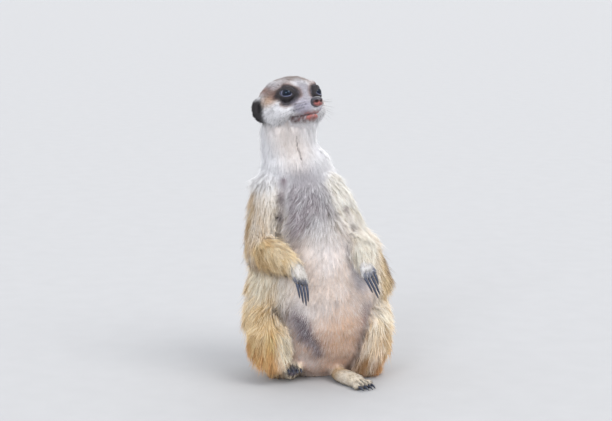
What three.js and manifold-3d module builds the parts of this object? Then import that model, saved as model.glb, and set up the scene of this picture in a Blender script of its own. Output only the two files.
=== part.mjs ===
// A life-size meerkat (Suricata suricatta), sitting upright on its rump with both hands held
// in front of a full belly. Millimetres, +Z up. The animal faces -Y, its right side is at -X,
// and the origin is the middle of the patch of rump that it sits on.
//
// Every form is a closed loft: a rounded section carried along a bent spine, out to the tips
// of the coat. A form of flesh is cut back from the neighbours that lie over it by SEAM.
import * as THREE from "three";
import { mergeVertices } from "three/addons/utils/BufferGeometryUtils.js";
import Module from "manifold-3d";

const wasm = await Module();
wasm.setup();

// ---- driving dimensions, in millimetres and degrees ----
const SEAM = 0.35; // clear gap between neighbouring pieces
const HEAD_AT = [-23.7, -3, 230]; // middle of the skull, between the ears
const HEAD_YAW = 15; // to the animal's left
const HEAD_PITCH = 13; // nose up
const EYE = { ahead: 19, out: 12.4, up: 4.4, radius: 5.6 };
const TAIL_LENGTH = 200;
const SKIN_COLOUR = {
  gold: 0xd9b684,
  cream: 0xe6dccb,
  white: 0xe4e0da,
  dark: 0x2c2422,
  claw: 0x2d3340,
  nose: 0x3a2a26,
  eye: 0x0c0a0a,
};

const radians = THREE.MathUtils.degToRad;

// ---- lofts ----

// Reads a list of stations at t from 0 to 1, as a smooth curve through their numbers.
function sample(stations, t) {
  const reach = (stations.length - 1) * THREE.MathUtils.clamp(t, 0, 1);
  const i = Math.min(Math.floor(reach), stations.length - 2);
  const f = reach - i;
  const at = (k) => stations[THREE.MathUtils.clamp(k, 0, stations.length - 1)];
  return at(i).map((from, n) => {
    const [before, to, after] = [-1, 1, 2].map((k) => at(i + k)[n]);
    const slopes = [(to - before) / 2, (after - from) / 2];
    const bend = 3 * (to - from) - 2 * slopes[0] - slopes[1];
    const twist = 2 * (from - to) + slopes[0] + slopes[1];
    return from + f * (slopes[0] + f * (bend + f * twist));
  });
}

// The spine's direction at t, from a short step either way.
function direction(stations, t) {
  const step = 0.02;
  const [ahead, behind] = [t + step, t - step].map((at) => sample(stations, at).slice(0, 3));
  return new THREE.Vector3(...ahead).sub(new THREE.Vector3(...behind)).normalize();
}

// A closed solid over a spine. A station is [x, y, z, side, front, back]: a point of the spine
// and the section's half-size to each side, to the front and to the back. The front is the
// cross product of the side direction and the spine's direction. A section is a superellipse
// of power square, and both ends close as 1 - |2t - 1| ^ blunt does. grow swells the solid.
function loft(stations, options = {}, grow = 0) {
  const { side = [1, 0, 0], around = 12, along = 8, blunt = 3, square = 2 } = options;
  const ball = new THREE.SphereGeometry(1, around, along);
  const place = ball.getAttribute("position");
  const v = new THREE.Vector3();
  for (let i = 0; i < place.count; i++) {
    v.fromBufferAttribute(place, i);
    const t = (1 - v.y) / 2;
    const [x, y, z, wide, front, back] = sample(stations, t);
    const forward = direction(stations, t);
    const across = new THREE.Vector3(...side);
    across.addScaledVector(forward, -across.dot(forward)).normalize();
    const outward = new THREE.Vector3().crossVectors(across, forward);
    const close = Math.sqrt(Math.max(1 - Math.pow(Math.abs(2 * t - 1), blunt), 0));
    const turn = Math.atan2(v.z, v.x);
    const bulge = (q) => Math.sign(q) * Math.pow(Math.abs(q), 2 / square);
    const deep = Math.sin(turn) > 0 ? front : back;
    const point = new THREE.Vector3(x, y, z)
      .addScaledVector(across, bulge(Math.cos(turn)) * close * (wide + grow))
      .addScaledVector(outward, bulge(Math.sin(turn)) * close * (deep + grow))
      .addScaledVector(forward, (2 * t - 1) * grow);
    place.setXYZ(i, point.x, point.y, point.z);
  }
  return solid(ball);
}

// A closed three.js geometry as a manifold solid, turned right side out if it needs it.
function solid(geometry) {
  const bare = geometry.clone();
  bare.deleteAttribute("normal");
  bare.deleteAttribute("uv");
  const merged = mergeVertices(bare, 1e-4);
  const vertProperties = new Float32Array(merged.getAttribute("position").array);
  const triVerts = new Uint32Array(merged.index.array);
  const made = new wasm.Manifold(new wasm.Mesh({ numProp: 3, vertProperties, triVerts }));
  if (made.volume() > 0) return made;
  triVerts.reverse();
  return new wasm.Manifold(new wasm.Mesh({ numProp: 3, vertProperties, triVerts }));
}

const join = (...forms) => forms.reduce((a, b) => a.add(b));
const cutBy = (form, ...others) => others.reduce((a, b) => a.subtract(b), form);
const biggest = (form) =>
  form.decompose().reduce((a, b) => (b.volume() > a.volume() ? b : a));

// A box of air under the floor, which leaves a flat at z = 0.
const FLOOR = solid(new THREE.BoxGeometry(900, 900, 60).translate(0, 0, -30));
const settle = (form) => form.subtract(FLOOR);

function mesh(name, form, colour, roughness = 0.9) {
  const data = biggest(form).getMesh();
  const geometry = new THREE.BufferGeometry()
    .setAttribute("position", new THREE.BufferAttribute(data.vertProperties, 3))
    .setIndex(new THREE.BufferAttribute(data.triVerts, 1));
  geometry.computeVertexNormals();
  const material = new THREE.MeshStandardMaterial({ color: colour, roughness, metalness: 0 });
  const made = new THREE.Mesh(geometry, material);
  made.name = name;
  return made;
}

// ---- trunk and neck ----

// Stations up the spine: [x, y, height, half-width, belly, back]. The trunk leans to the
// animal's right as it rises from the rump.
const TRUNK_RINGS = [
  [0, 7, -5, 38, 35, 37],
  [0, 9, 22, 47, 49, 42],
  [0.5, 8, 50, 52, 57, 43],
  [1.5, 6, 78, 64, 55, 41],
  [-2.5, 4, 106, 54, 46, 39],
  [-6.5, 3, 121, 40, 40, 36.5],
  [-12, 2, 136, 35, 34.5, 34],
  [-17, 1, 160, 30, 28, 29],
  [-21, 2, 186, 24, 20, 23],
];
const trunk = (grow = 0) =>
  loft(TRUNK_RINGS, { around: 15, along: 12, blunt: 9, square: 2.15 }, grow);

const NECK_RINGS = [
  [-13, 2, 148, 36, 24, 26],
  [-15.5, 3, 160, 35.5, 26, 26],
  [-18, 3, 172, 32.5, 25, 27],
  [-22, 4, 184, 27, 23, 26],
  [-24.7, 4, 196, 23.7, 21.5, 25],
  [-24, 3, 208, 25, 21.5, 24],
  [-23.5, 1, 220, 24, 21, 23.5],
  [-25, 0, 230, 20, 20, 23],
];
const neck = (grow = 0) => loft(NECK_RINGS, { around: 12, along: 10, blunt: 6 }, grow);

// ---- head ----

const headTurn = new THREE.Matrix4()
  .makeTranslation(...HEAD_AT)
  .multiply(new THREE.Matrix4().makeRotationZ(radians(HEAD_YAW)))
  .multiply(new THREE.Matrix4().makeRotationX(radians(-HEAD_PITCH)));

// A point given as [ahead, out to the animal's left, up] of the skull's middle.
const inHead = ([ahead, out, up]) =>
  new THREE.Vector3(out, -ahead, up).applyMatrix4(headTurn).toArray();
const headAxis = (out, ahead, up) =>
  new THREE.Vector3(out, -ahead, up).transformDirection(headTurn).toArray();
const headSide = headAxis(1, 0, 0);

// Stations [ahead, out, up, half-width, down, up] in the head's own frame.
const headLoft = (rings, options, grow) =>
  loft(
    rings.map(([ahead, out, up, ...half]) => [...inHead([ahead, out, up]), ...half]),
    { side: headSide, ...options },
    grow,
  );

const cranium = (grow) =>
  headLoft(
    [
      [-28, 0, 0, 17, 15, 14],
      [-17, 0, 1, 24, 18, 18],
      [-4, 0, 1, 26.5, 19, 20],
      [8, 0, 1, 24.5, 18, 19.5],
      [18, 0, 1, 18.5, 15, 15.5],
      [28, 0, -2, 12, 11, 9],
    ],
    { around: 14, along: 9, blunt: 4 },
    grow,
  );
const muzzle = (grow) =>
  headLoft(
    [
      [6, 0, -6, 19, 12, 15],
      [17, 0, -7, 15.5, 9, 13],
      [26, 0, -8.5, 11.5, 7, 9.5],
      [35, 0, -9, 8.8, 6, 6.5],
      [44, 0, -8.5, 6.6, 5.5, 5.2],
    ],
    { around: 12, along: 7, blunt: 5 },
    grow,
  );
const cheek = (side, grow) =>
  headLoft(
    [
      [-17, side * 13.5, -6, 8, 11, 11],
      [-3, side * 15.5, -7, 9.5, 12, 12],
      [10, side * 17.5, -7, 10.5, 11.5, 12],
      [20, side * 10.5, -9.5, 6.5, 8, 8],
    ],
    { around: 9, along: 7, blunt: 3 },
    grow,
  );
const brow = (side, grow) =>
  headLoft(
    [
      [6, side * 15, 9, 6, 6, 6],
      [14, side * 12.5, 10.5, 6, 6, 5.5],
      [22, side * 8, 8, 5, 5, 4.5],
    ],
    { around: 7, along: 5, blunt: 2 },
    grow,
  );
const jaw = (grow = 0) =>
  headLoft(
    [
      [6, 0, -16, 12, 6, 3],
      [15, 0, -16.8, 10.5, 5.8, 3],
      [24, 0, -17, 8.4, 5, 2.8],
      [33, 0, -16.8, 6.2, 4.2, 2.4],
      [40.5, 0, -16, 4.2, 3.2, 2],
    ],
    { around: 10, along: 7, blunt: 4 },
    grow,
  );
const nosePad = (grow = 0) =>
  headLoft(
    [
      [40.5, 0, -6.6, 3.8, 4, 3.2],
      [45, 0, -6.2, 4.5, 4.4, 3.6],
      [49, 0, -6.4, 3.6, 3.4, 2.8],
    ],
    { around: 8, along: 5, blunt: 3 },
    grow,
  );
const eye = (side, grow = 0) =>
  solid(
    new THREE.SphereGeometry(EYE.radius + grow, 9, 7).translate(
      ...inHead([EYE.ahead, side * EYE.out, EYE.up]),
    ),
  );

// The ear is a low, thick crescent on the side of the head, hollowed at the front. Its
// stations are [ahead, out, up, half-thickness, inner, outer] in the head's frame.
const earLoft = (side, rings, options, grow) =>
  loft(
    rings.map(([ahead, out, up, ...half]) => [...inHead([ahead, side * out, up]), ...half]),
    { side: headAxis(side * 0.35, 0.9, 0), ...options },
    grow,
  );
const earBody = (side, grow) =>
  earLoft(
    side,
    [
      [-3, 22.5, 5.5, 2.4, 4, 4.5],
      [-4.5, 26, 0.5, 2.8, 6.3, 7],
      [-5, 27, -7, 2.8, 6.5, 7],
      [-4, 25, -16, 2.4, 4, 4.5],
    ],
    { around: 10, along: 8, blunt: 3 },
    grow,
  );
const earCup = (side) =>
  earLoft(
    side,
    [
      [0.5, 25.5, 2, 3, 3.4, 3.6],
      [-1, 28, -3, 3.8, 4.4, 4.6],
      [-1, 27, -10.5, 3, 3.4, 3.6],
    ],
    { around: 8, along: 5, blunt: 2 },
  );
const ear = (side, grow = 0) =>
  grow ? earBody(side, grow) : earBody(side, 0).subtract(earCup(side));

const skull = (grow = 0) =>
  join(
    cranium(grow),
    muzzle(grow),
    ...[-1, 1].flatMap((side) => [cheek(side, grow), brow(side, grow)]),
  );

// ---- arms ----

// For the right (-1) and the left (1) arm: the joints, the step from one finger to the next,
// the way that the fingers and claws hang, and each claw's length.
const ARM = {
  "-1": {
    shoulder: [-43, -3, 161],
    elbow: [-54, -12, 113],
    wrist: [-33, -58, 105],
    knuckles: [-30, -66, 95.5],
    step: [2.8, 0, -0.9],
    hang: [0.14, -0.08, -1],
    claws: [14, 16, 17.5, 15],
  },
  1: {
    shoulder: [5.5, -5, 162],
    elbow: [28.5, -20, 116],
    wrist: [28, -48, 102],
    knuckles: [28, -54, 97],
    step: [2.7, 0, 1.1],
    hang: [0.44, -0.1, -1],
    claws: [14, 18, 16, 10],
  },
};
const mix = (a, b, t) => a.map((v, i) => v + (b[i] - v) * t);
const plus = (a, b, times = 1) => a.map((v, i) => v + b[i] * times);

const upperArm = (side, grow = 0) => {
  const { shoulder, elbow } = ARM[side];
  return loft(
    [
      [...mix(shoulder, elbow, -0.28), 12, 13, 14],
      [...shoulder, 14.5, 18, 18],
      [...mix(shoulder, elbow, 0.5), 12.5, 15, 15],
      [...elbow, 12, 13, 13],
      [...mix(shoulder, elbow, 1.32), 9, 9, 9],
    ],
    { around: 10, along: 7, blunt: 3 },
    grow,
  );
};
const forearm = (side, grow = 0) => {
  const { elbow, wrist } = ARM[side];
  return loft(
    [
      [...mix(elbow, wrist, -0.18), 9, 10, 10],
      [...mix(elbow, wrist, 0.12), 12.5, 13.5, 13.5],
      [...mix(elbow, wrist, 0.5), 11, 12.5, 12],
      [...mix(elbow, wrist, 0.88), 7.4, 8, 8],
      [...mix(elbow, wrist, 1.08), 5.5, 5.5, 5.5],
    ],
    { around: 10, along: 7, blunt: 3 },
    grow,
  );
};

// ---- digits, shared by hands and feet ----

const DIGITS = [-1.5, -0.5, 0.5, 1.5];
const middleness = (n) => 1.5 - Math.abs(n); // 0 for an outer digit, 1 for a middle one

// A toe or finger and its claw, from base to tip and on along the claw's arc.
function digit({ base, tip, thick }, grow = 0) {
  return loft(
    [
      [...base, thick, thick, thick],
      [...mix(base, tip, 0.55), thick * 0.95, thick, thick],
      [...tip, thick * 0.85, thick * 0.85, thick * 0.85],
    ],
    { around: 6, along: 5, blunt: 4 },
    grow,
  );
}
function claw({ tip, point, sag, width }) {
  const middle = plus(mix(tip, point, 0.5), sag);
  return loft(
    [
      [...mix(tip, middle, -0.35), width * 0.9, width * 1.2, width * 1.2],
      [...mix(tip, middle, 0.35), width, width * 1.4, width * 1.4],
      [...middle, width * 0.95, width * 1.2, width * 1.2],
      [...point, width * 0.6, width * 0.65, width * 0.65],
    ],
    { around: 5, along: 6, blunt: 6 },
  );
}

// ---- hands ----

const FINGER = { length: 3.5, longer: 1.5, thick: 2.5, claw: 1.3, arch: 2, gather: 0.2 };
const palm = (side, grow = 0) => {
  const { wrist, knuckles } = ARM[side];
  return loft(
    [
      [...mix(wrist, knuckles, -0.35), 5.8, 5, 5],
      [...mix(wrist, knuckles, 0.35), 6.4, 5.2, 5.2],
      [...mix(wrist, knuckles, 1.0), 6.2, 4.4, 4.4],
      [...mix(wrist, knuckles, 1.3), 5.4, 3, 3],
    ],
    { around: 9, along: 6, blunt: 4 },
    grow,
  );
};
// The fingers carry on from the knuckles and curl down, the middle two the longest, and the
// claws draw together towards their points.
const finger = (side, n) => {
  const { knuckles, step, hang, claws } = ARM[side];
  const base = plus(knuckles, step, n);
  const tip = plus(base, hang, FINGER.length + FINGER.longer * middleness(n));
  const point = plus(plus(tip, hang, claws[n + 1.5]), step, -FINGER.gather * n);
  return { base, tip, point, sag: [0, -FINGER.arch, 0], thick: FINGER.thick, width: FINGER.claw };
};

// ---- legs ----

const HIP = { out: 27, y: 18, z: 48 };
// For each leg: the joints, how stout it is at the knee and the ankle, and its half-width at
// the floor.
const LEG = {
  "-1": { knee: [-47, -21, 54], ankle: [-39, -5, 15], girth: [1.24, 0.64], sole: 9 },
  1: { knee: [41.5, -24, 57], ankle: [37.5, -14, 14], girth: [0.86, 0.8], sole: 21 },
};
// The right foot stands on its heel with the toes up; the left lies flat, turned outward. For
// each: half-width and half-height, how far the toes curl up, their length and the claws'.
const FOOT = {
  "-1": { heel: [-29, -5, 7], toes: [-27.8, -29, 11], half: [7, 8.3], lift: 2.5, reach: 3, claw: 4 },
  1: { heel: [9.5, -28, 6], toes: [22.5, -56.5, 4.4], half: [8.4, 6], lift: 0, reach: 5, claw: 6 },
};
const TOE = { back: 3, droop: 1.4, longer: 1.5, thick: 3.7, claw: 1.2, clawDroop: 2, arch: 1.2 };

const thigh = (side, grow = 0) => {
  const { knee, girth } = LEG[side];
  return loft(
    [
      [side * (HIP.out - 6), HIP.y + 12, HIP.z - 4, 22, 28, 26],
      [side * HIP.out, HIP.y, HIP.z, 33, 36, 37],
      [side * 37, 0, 52, 27.5, 37, 39],
      [knee[0], knee[1], knee[2] - 4, 17.5 * girth[0], 28, 26],
      [knee[0] - side, knee[1] - 13, knee[2] - 6, 12, 17, 15],
    ],
    { around: 13, along: 8, blunt: 4 },
    grow,
  );
};
const shank = (side, grow = 0) => {
  const { knee, ankle, girth, sole } = LEG[side];
  return loft(
    [
      [knee[0] - side, knee[1] - 4, knee[2] + 6, 12, 11, 14],
      [knee[0] + side * 0.5, knee[1] - 3, knee[2] - 18, 17 * girth[0], 13.5, 22],
      [ankle[0] + side * 2, ankle[1] - 2, ankle[2] + 6, 16.5 * girth[1], 13, 22],
      [...plus(ankle, [-side, 3, -15]), sole, 10, 14],
    ],
    { around: 12, along: 7, blunt: 4 },
    grow,
  );
};
const footForm = (side, grow = 0) => {
  const { heel, toes, half } = FOOT[side];
  const [w, h] = half;
  return loft(
    [
      [...mix(heel, toes, -0.15), w * 0.8, h, h],
      [...mix(heel, toes, 0.25), w * 0.95, h * 1.1, h * 1.1],
      [...mix(heel, toes, 0.7), w, h * 1.05, h * 1.05],
      [...mix(heel, toes, 1.05), w * 0.95, h, h],
    ],
    { around: 10, along: 6, blunt: 4 },
    grow,
  );
};
// The toes fan out side by side across the end of the foot.
const toe = (side, n) => {
  const { heel, toes, half, lift, reach, claw: length } = FOOT[side];
  const ahead = new THREE.Vector3(toes[0] - heel[0], toes[1] - heel[1], 0).normalize();
  const across = new THREE.Vector3(-ahead.y, ahead.x, 0);
  const spacing = half[0] / 2;
  const at = (forward, rise) =>
    new THREE.Vector3(...toes)
      .addScaledVector(across, n * spacing)
      .addScaledVector(ahead, forward)
      .add(new THREE.Vector3(0, 0, rise))
      .toArray();
  const end = reach + TOE.longer * middleness(n);
  return {
    base: at(-TOE.back, 0),
    tip: at(end, lift - TOE.droop),
    point: at(end + length, lift - TOE.droop - TOE.clawDroop),
    sag: [0, 0, TOE.arch],
    thick: TOE.thick,
    width: TOE.claw,
  };
};

// ---- tail ----

// The tail comes down from the rump to the floor behind it, tapers, and bends to the animal's
// left towards its tip.
const TAIL = { parts: 3, from: [2, 34, 13], root: 11, tip: 4.5, turn: 38, fall: 60, sweep: 0.55 };
const tailPoint = (t) => {
  const bend = radians(TAIL.turn) * t * t;
  const radius = THREE.MathUtils.lerp(TAIL.root, TAIL.tip, Math.pow(t, 0.8));
  return [
    TAIL.from[0] + TAIL_LENGTH * t * Math.sin(bend) * TAIL.sweep,
    TAIL.from[1] + TAIL_LENGTH * t * Math.cos(bend * 0.8),
    Math.max(TAIL.from[2] - TAIL.fall * t, 0) + radius * 0.85,
    radius,
    radius,
    radius,
  ];
};
const tail = () =>
  loft(
    Array.from({ length: 12 }, (_, i) => tailPoint(i / 11)),
    { around: 8, along: 10, blunt: 24 },
  );
// A slab of space over the n-th length of the tail; the first and last are open-ended.
const tailSlab = (n) => {
  const step = TAIL_LENGTH / TAIL.parts;
  const low = n === 0 ? -step : n * step + SEAM / 2;
  const high = n === TAIL.parts - 1 ? 2 * TAIL_LENGTH : (n + 1) * step - SEAM / 2;
  return solid(
    new THREE.BoxGeometry(TAIL_LENGTH * 2, high - low, TAIL_LENGTH)
      .translate(0, TAIL.from[1] + (low + high) / 2, 0),
  );
};

// ---- the animal, each piece cut back from those that lie over it ----

const root = new THREE.Group();
const put = (...args) => root.add(mesh(...args));
const SIDES = { right: -1, left: 1 };
const both = (make) => Object.values(SIDES).map((side) => make(side));

const hand = (side, grow = 0) =>
  join(palm(side, grow), ...DIGITS.map((n) => digit(finger(side, n), grow)));
const foot = (side, grow = 0) =>
  join(footForm(side, grow), ...DIGITS.map((n) => digit(toe(side, n), grow)));

const arms = both((s) => [upperArm(s, SEAM), forearm(s, SEAM), hand(s, SEAM)]).flat();
const legs = both((s) => [thigh(s, SEAM), shank(s, SEAM), foot(s, SEAM)]).flat();
const headAndEars = [skull(SEAM), jaw(SEAM), ...both((s) => ear(s, SEAM))];

put("trunk", settle(cutBy(trunk(), ...arms, ...legs, ...headAndEars, neck(SEAM))),
  SKIN_COLOUR.cream);
put("neck", cutBy(neck(), ...headAndEars, ...both((s) => upperArm(s, SEAM))), SKIN_COLOUR.white);
put("head", cutBy(skull(), jaw(SEAM), nosePad(SEAM), ...both((s) => eye(s, SEAM)),
  ...both((s) => ear(s, SEAM))), SKIN_COLOUR.white);
put("jaw", cutBy(jaw(), nosePad(SEAM)), SKIN_COLOUR.white);
put("nose", nosePad(), SKIN_COLOUR.nose, 0.45);

for (const [word, side] of Object.entries(SIDES)) {
  const handGrown = hand(side, SEAM);
  const footGrown = foot(side, SEAM);
  put(`eye_${word}`, eye(side), SKIN_COLOUR.eye, 0.08);
  put(`ear_${word}`, ear(side), SKIN_COLOUR.dark);

  put(`upper_arm_${word}`, cutBy(upperArm(side), forearm(side, SEAM)), SKIN_COLOUR.gold);
  put(`forearm_${word}`, cutBy(forearm(side), handGrown, thigh(side, SEAM)), SKIN_COLOUR.gold);
  put(`hand_${word}`, hand(side), SKIN_COLOUR.cream);

  put(`thigh_${word}`, settle(cutBy(thigh(side), shank(side, SEAM), footGrown, handGrown,
    upperArm(side, SEAM))), SKIN_COLOUR.gold);
  put(`shank_${word}`, settle(cutBy(shank(side), footGrown)), SKIN_COLOUR.gold);
  put(`foot_${word}`, settle(foot(side)), SKIN_COLOUR.cream);

  DIGITS.forEach((n, i) => {
    put(`claw_hand_${word}_${i + 1}`, cutBy(claw(finger(side, n)), handGrown),
      SKIN_COLOUR.claw, 0.35);
    put(`claw_foot_${word}_${i + 1}`, settle(cutBy(claw(toe(side, n)), footGrown)),
      SKIN_COLOUR.claw, 0.35);
  });
}

const TAIL_COLOURS = [SKIN_COLOUR.gold, SKIN_COLOUR.gold, SKIN_COLOUR.dark];
TAIL_COLOURS.forEach((colour, n) => {
  const length = cutBy(tail().intersect(tailSlab(n)), trunk(SEAM), ...both((s) => thigh(s, SEAM)));
  put(`tail_${n + 1}`, settle(length), colour);
});

export default root;
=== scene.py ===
"""A life-size meerkat, sitting upright on its rump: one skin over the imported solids, eyes, nose,
claws and whiskers of their own, and a coat of thin closed tufts that lies the way the real one does.

Meshes are in metres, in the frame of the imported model: +Z up, the animal faces -Y and its right
side is at -X. The marks on the coat and the forms of the skin are told in millimetres: in the same
frame, where the points are called at, or ahead, out and up from the middle of the skull, where they
are called local.
"""

import itertools
import math

import bmesh
import bpy
import numpy as np
from bpy.props import BoolProperty, FloatProperty, FloatVectorProperty, IntProperty, PointerProperty
from bpy.types import Operator, Panel, PropertyGroup
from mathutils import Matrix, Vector


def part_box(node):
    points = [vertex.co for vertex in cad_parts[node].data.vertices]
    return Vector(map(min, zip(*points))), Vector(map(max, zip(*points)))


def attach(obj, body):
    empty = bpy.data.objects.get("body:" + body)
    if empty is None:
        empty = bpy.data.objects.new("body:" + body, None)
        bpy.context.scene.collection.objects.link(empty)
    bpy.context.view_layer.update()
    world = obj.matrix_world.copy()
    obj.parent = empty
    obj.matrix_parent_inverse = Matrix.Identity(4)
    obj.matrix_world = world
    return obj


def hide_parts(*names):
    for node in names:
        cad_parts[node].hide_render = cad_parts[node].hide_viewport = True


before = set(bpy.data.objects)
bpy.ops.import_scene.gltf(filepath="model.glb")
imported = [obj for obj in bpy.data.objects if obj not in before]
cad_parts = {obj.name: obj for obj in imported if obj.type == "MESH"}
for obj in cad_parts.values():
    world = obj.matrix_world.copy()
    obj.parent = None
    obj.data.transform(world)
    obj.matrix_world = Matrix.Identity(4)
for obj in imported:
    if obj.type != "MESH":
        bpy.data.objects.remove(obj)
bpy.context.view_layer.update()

bl_info = {
    "name": "Sitting meerkat",
    "version": (1, 0, 0),
    "blender": (4, 5, 0),
    "location": "3D View > Sidebar > Meerkat",
    "description": "Dresses the packed solids of a sitting meerkat with skin, coat, eyes, nose and claws",
    "category": "Object",
}

MM = 0.001
BODY = "root"
COAT_UV = "OFBake"
SKIN_NAME = "skin"
FLESH = [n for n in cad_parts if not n.startswith(("claw_", "eye_", "nose"))]
CLAWS = sorted(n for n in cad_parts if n.startswith("claw_"))
COVERED = FLESH + ["eye_left", "eye_right"]  # what the skin is laid over, the lids over the eyes
SIDES = {"right": -1, "left": 1}

# ---- places on the body, the same as the solids have them ----

HEAD_AT = np.array([-23.7, -3, 230]) * MM
HEAD_YAW = math.radians(15)
HEAD_PITCH = math.radians(13)
EYE_AT = (19, 12.4, 4.4)  # ahead, out, up, in mm
EYE_RADIUS = 5.6
BONES = {
    "upper_arm_right": ((-43, -3, 161), (-54, -12, 113)),
    "forearm_right": ((-54, -12, 113), (-33, -58, 105)),
    "hand_right": ((-33, -58, 105), (-28, -66, 88)),
    "upper_arm_left": ((5.5, -5, 162), (28.5, -20, 116)),
    "forearm_left": ((28.5, -20, 116), (28, -48, 102)),
    "hand_left": ((28, -48, 102), (31, -56, 88)),
    "shank_right": ((-47, -21, 54), (-39, -5, 15)),
    "shank_left": ((41.5, -24, 57), (37.5, -14, 14)),
    "foot_right": ((-29, -5, 7), (-27.8, -29, 11)),
    "foot_left": ((9.5, -28, 6), (22.5, -56.5, 4.4)),
}


# ---- arithmetic on whole arrays ----


def tone(red, green, blue):
    """Linear colour for the 0 to 255 values that a screen shows."""
    c = np.array([red, green, blue]) / 255
    return np.where(c <= 0.04045, c / 12.92, ((c + 0.055) / 1.055) ** 2.4)


def unit(v):
    """v divided by its length."""
    return v / np.maximum(np.linalg.norm(v, axis=-1, keepdims=True), 1e-12)


def ease(x, low, high):
    """0 below low, 1 above high, and 3t^2 - 2t^3 between them."""
    t = np.clip((x - low) / (high - low), 0, 1)
    return t * t * (3 - 2 * t)


def blob(points, centre, radii, soft=0.35):
    """1 inside the ellipsoid, 0 outside, with an edge that is soft times its radius wide."""
    reach = np.linalg.norm((points - np.array(centre)) / np.array(radii), axis=-1)
    return 1 - ease(reach, 1 - soft, 1 + soft)


def stroke(points, start, end, width, soft=0.5):
    """1 within width of the straight line from start to end, falling to 0 at its soft edge."""
    a, b = np.array(start), np.array(end)
    along = np.clip(((points - a) @ (b - a)) / ((b - a) @ (b - a)), 0, 1)
    reach = np.linalg.norm(points - a - along[:, None] * (b - a), axis=-1) / width
    return 1 - ease(reach, 1 - soft, 1 + soft)


def bell(x, width, power=2):
    """exp(-|x / width|^power): 1 at x = 0, nearly 0 beyond twice the width."""
    return np.exp(-((x / width) ** power))


def below(x, level, width):
    """1 where x is more than width below level, 0 above level."""
    return ease(level - x, 0, width)


def either(*weights):
    """The sum of the weights, kept between 0 and 1."""
    return np.clip(sum(weights), 0, 1)


def ripple(points, size, seed):
    """A smooth wandering value from about -1 to 1: seven sines of turned coordinates, added up."""
    random = np.random.default_rng(seed)
    waves = random.normal(size=(7, 3)) / size
    return np.sin(points @ waves.T + random.uniform(0, 2 * math.pi, 7)).sum(1) / 3.5


def head_axes():
    """The skull's ahead, out (to its left) and up directions, turned by its yaw and pitch."""
    cy, sy = math.cos(HEAD_YAW), math.sin(HEAD_YAW)
    cp, sp = math.cos(HEAD_PITCH), math.sin(HEAD_PITCH)
    turn = np.array([[cy, -sy, 0], [sy, cy, 0], [0, 0, 1]])
    nod = np.array([[1, 0, 0], [0, cp, sp], [0, -sp, cp]])
    both = turn @ nod
    return np.stack([-both[:, 1], both[:, 0], both[:, 2]])


HEAD_AXES = head_axes()


def to_head(points):
    """Row-frame points as millimetres ahead, out and up from the middle of the skull."""
    return (points - HEAD_AT) @ HEAD_AXES.T / MM


def from_head(local):
    """The other way: millimetres ahead, out and up from the skull's middle, as row-frame points."""
    return np.asarray(local) * MM @ HEAD_AXES + HEAD_AT


def eye_middle(side):
    """The middle of that side's eyeball, in the head's millimetres."""
    return np.array([EYE_AT[0], side * EYE_AT[1], EYE_AT[2]])


# ---- meshes from arrays and back ----


def make_mesh(name, points, faces, smooth=True):
    """A mesh object from points and triangles or quads, with its place in its mesh."""
    mesh = bpy.data.meshes.new(name)
    corners = faces.shape[1]
    mesh.vertices.add(len(points))
    mesh.vertices.foreach_set("co", points.astype(np.float32).ravel())
    mesh.loops.add(faces.size)
    mesh.loops.foreach_set("vertex_index", faces.astype(np.int32).ravel())
    mesh.polygons.add(len(faces))
    mesh.polygons.foreach_set("loop_start", np.arange(0, faces.size, corners, dtype=np.int32))
    mesh.update(calc_edges=True)
    mesh.validate()
    mesh.polygons.foreach_set("use_smooth", np.full(len(mesh.polygons), smooth))
    obj = bpy.data.objects.new(name, mesh)
    bpy.context.scene.collection.objects.link(obj)
    return obj


def read_mesh(mesh):
    """A mesh's points, edges and triangles as arrays."""
    points = np.empty(len(mesh.vertices) * 3, np.float32)
    mesh.vertices.foreach_get("co", points)
    edges = np.empty(len(mesh.edges) * 2, np.int32)
    mesh.edges.foreach_get("vertices", edges)
    mesh.calc_loop_triangles()
    faces = np.empty(len(mesh.loop_triangles) * 3, np.int32)
    mesh.loop_triangles.foreach_get("vertices", faces)
    return points.reshape(-1, 3).astype(float), edges.reshape(-1, 2), faces.reshape(-1, 3)


def merged_node(name):
    """A CAD node's points and triangles, with the doubled corners of its loose triangles merged."""
    points, _, faces = read_mesh(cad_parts[name].data)
    keys = np.round(points / (0.001 * MM)).astype(np.int64)
    _, first, back = np.unique(keys, axis=0, return_index=True, return_inverse=True)
    return points[first], back.reshape(-1)[faces]


def corner_normals(points, faces):
    """Each point's normal: the area-weighted mean of its triangles' normals."""
    a, b, c = (points[faces[:, k]] for k in range(3))
    flat = np.cross(b - a, c - a)
    total = [
        sum(np.bincount(faces[:, k], flat[:, axis], len(points)) for k in range(3)) for axis in range(3)
    ]
    return unit(np.stack(total, axis=1))


def outward(points, faces):
    """The faces turned round if the closed shape's signed volume is negative."""
    a, b, c = (points[faces[:, k]] for k in range(3))
    return faces if (a * np.cross(b, c)).sum() > 0 else faces[:, ::-1]


def ring_faces(rows, around, closed=True):
    """Triangles over rows of around points each, with a fan from the first row to the point after
    the last row and, if closed, one from the last row to the point after that."""
    j = np.arange(around)
    k = (j + 1) % around
    row = np.arange(rows - 1)[:, None] * around
    a, b, c, d = row + j, row + k, row + around + k, row + around + j
    last, front = (rows - 1) * around, np.full(around, rows * around)
    parts = [(a, d, b), (b, d, c), (front, j, k)]
    if closed:
        parts.append((front + 1, last + k, last + j))
    return np.concatenate([np.stack(part, -1).reshape(-1, 3) for part in parts])


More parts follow.
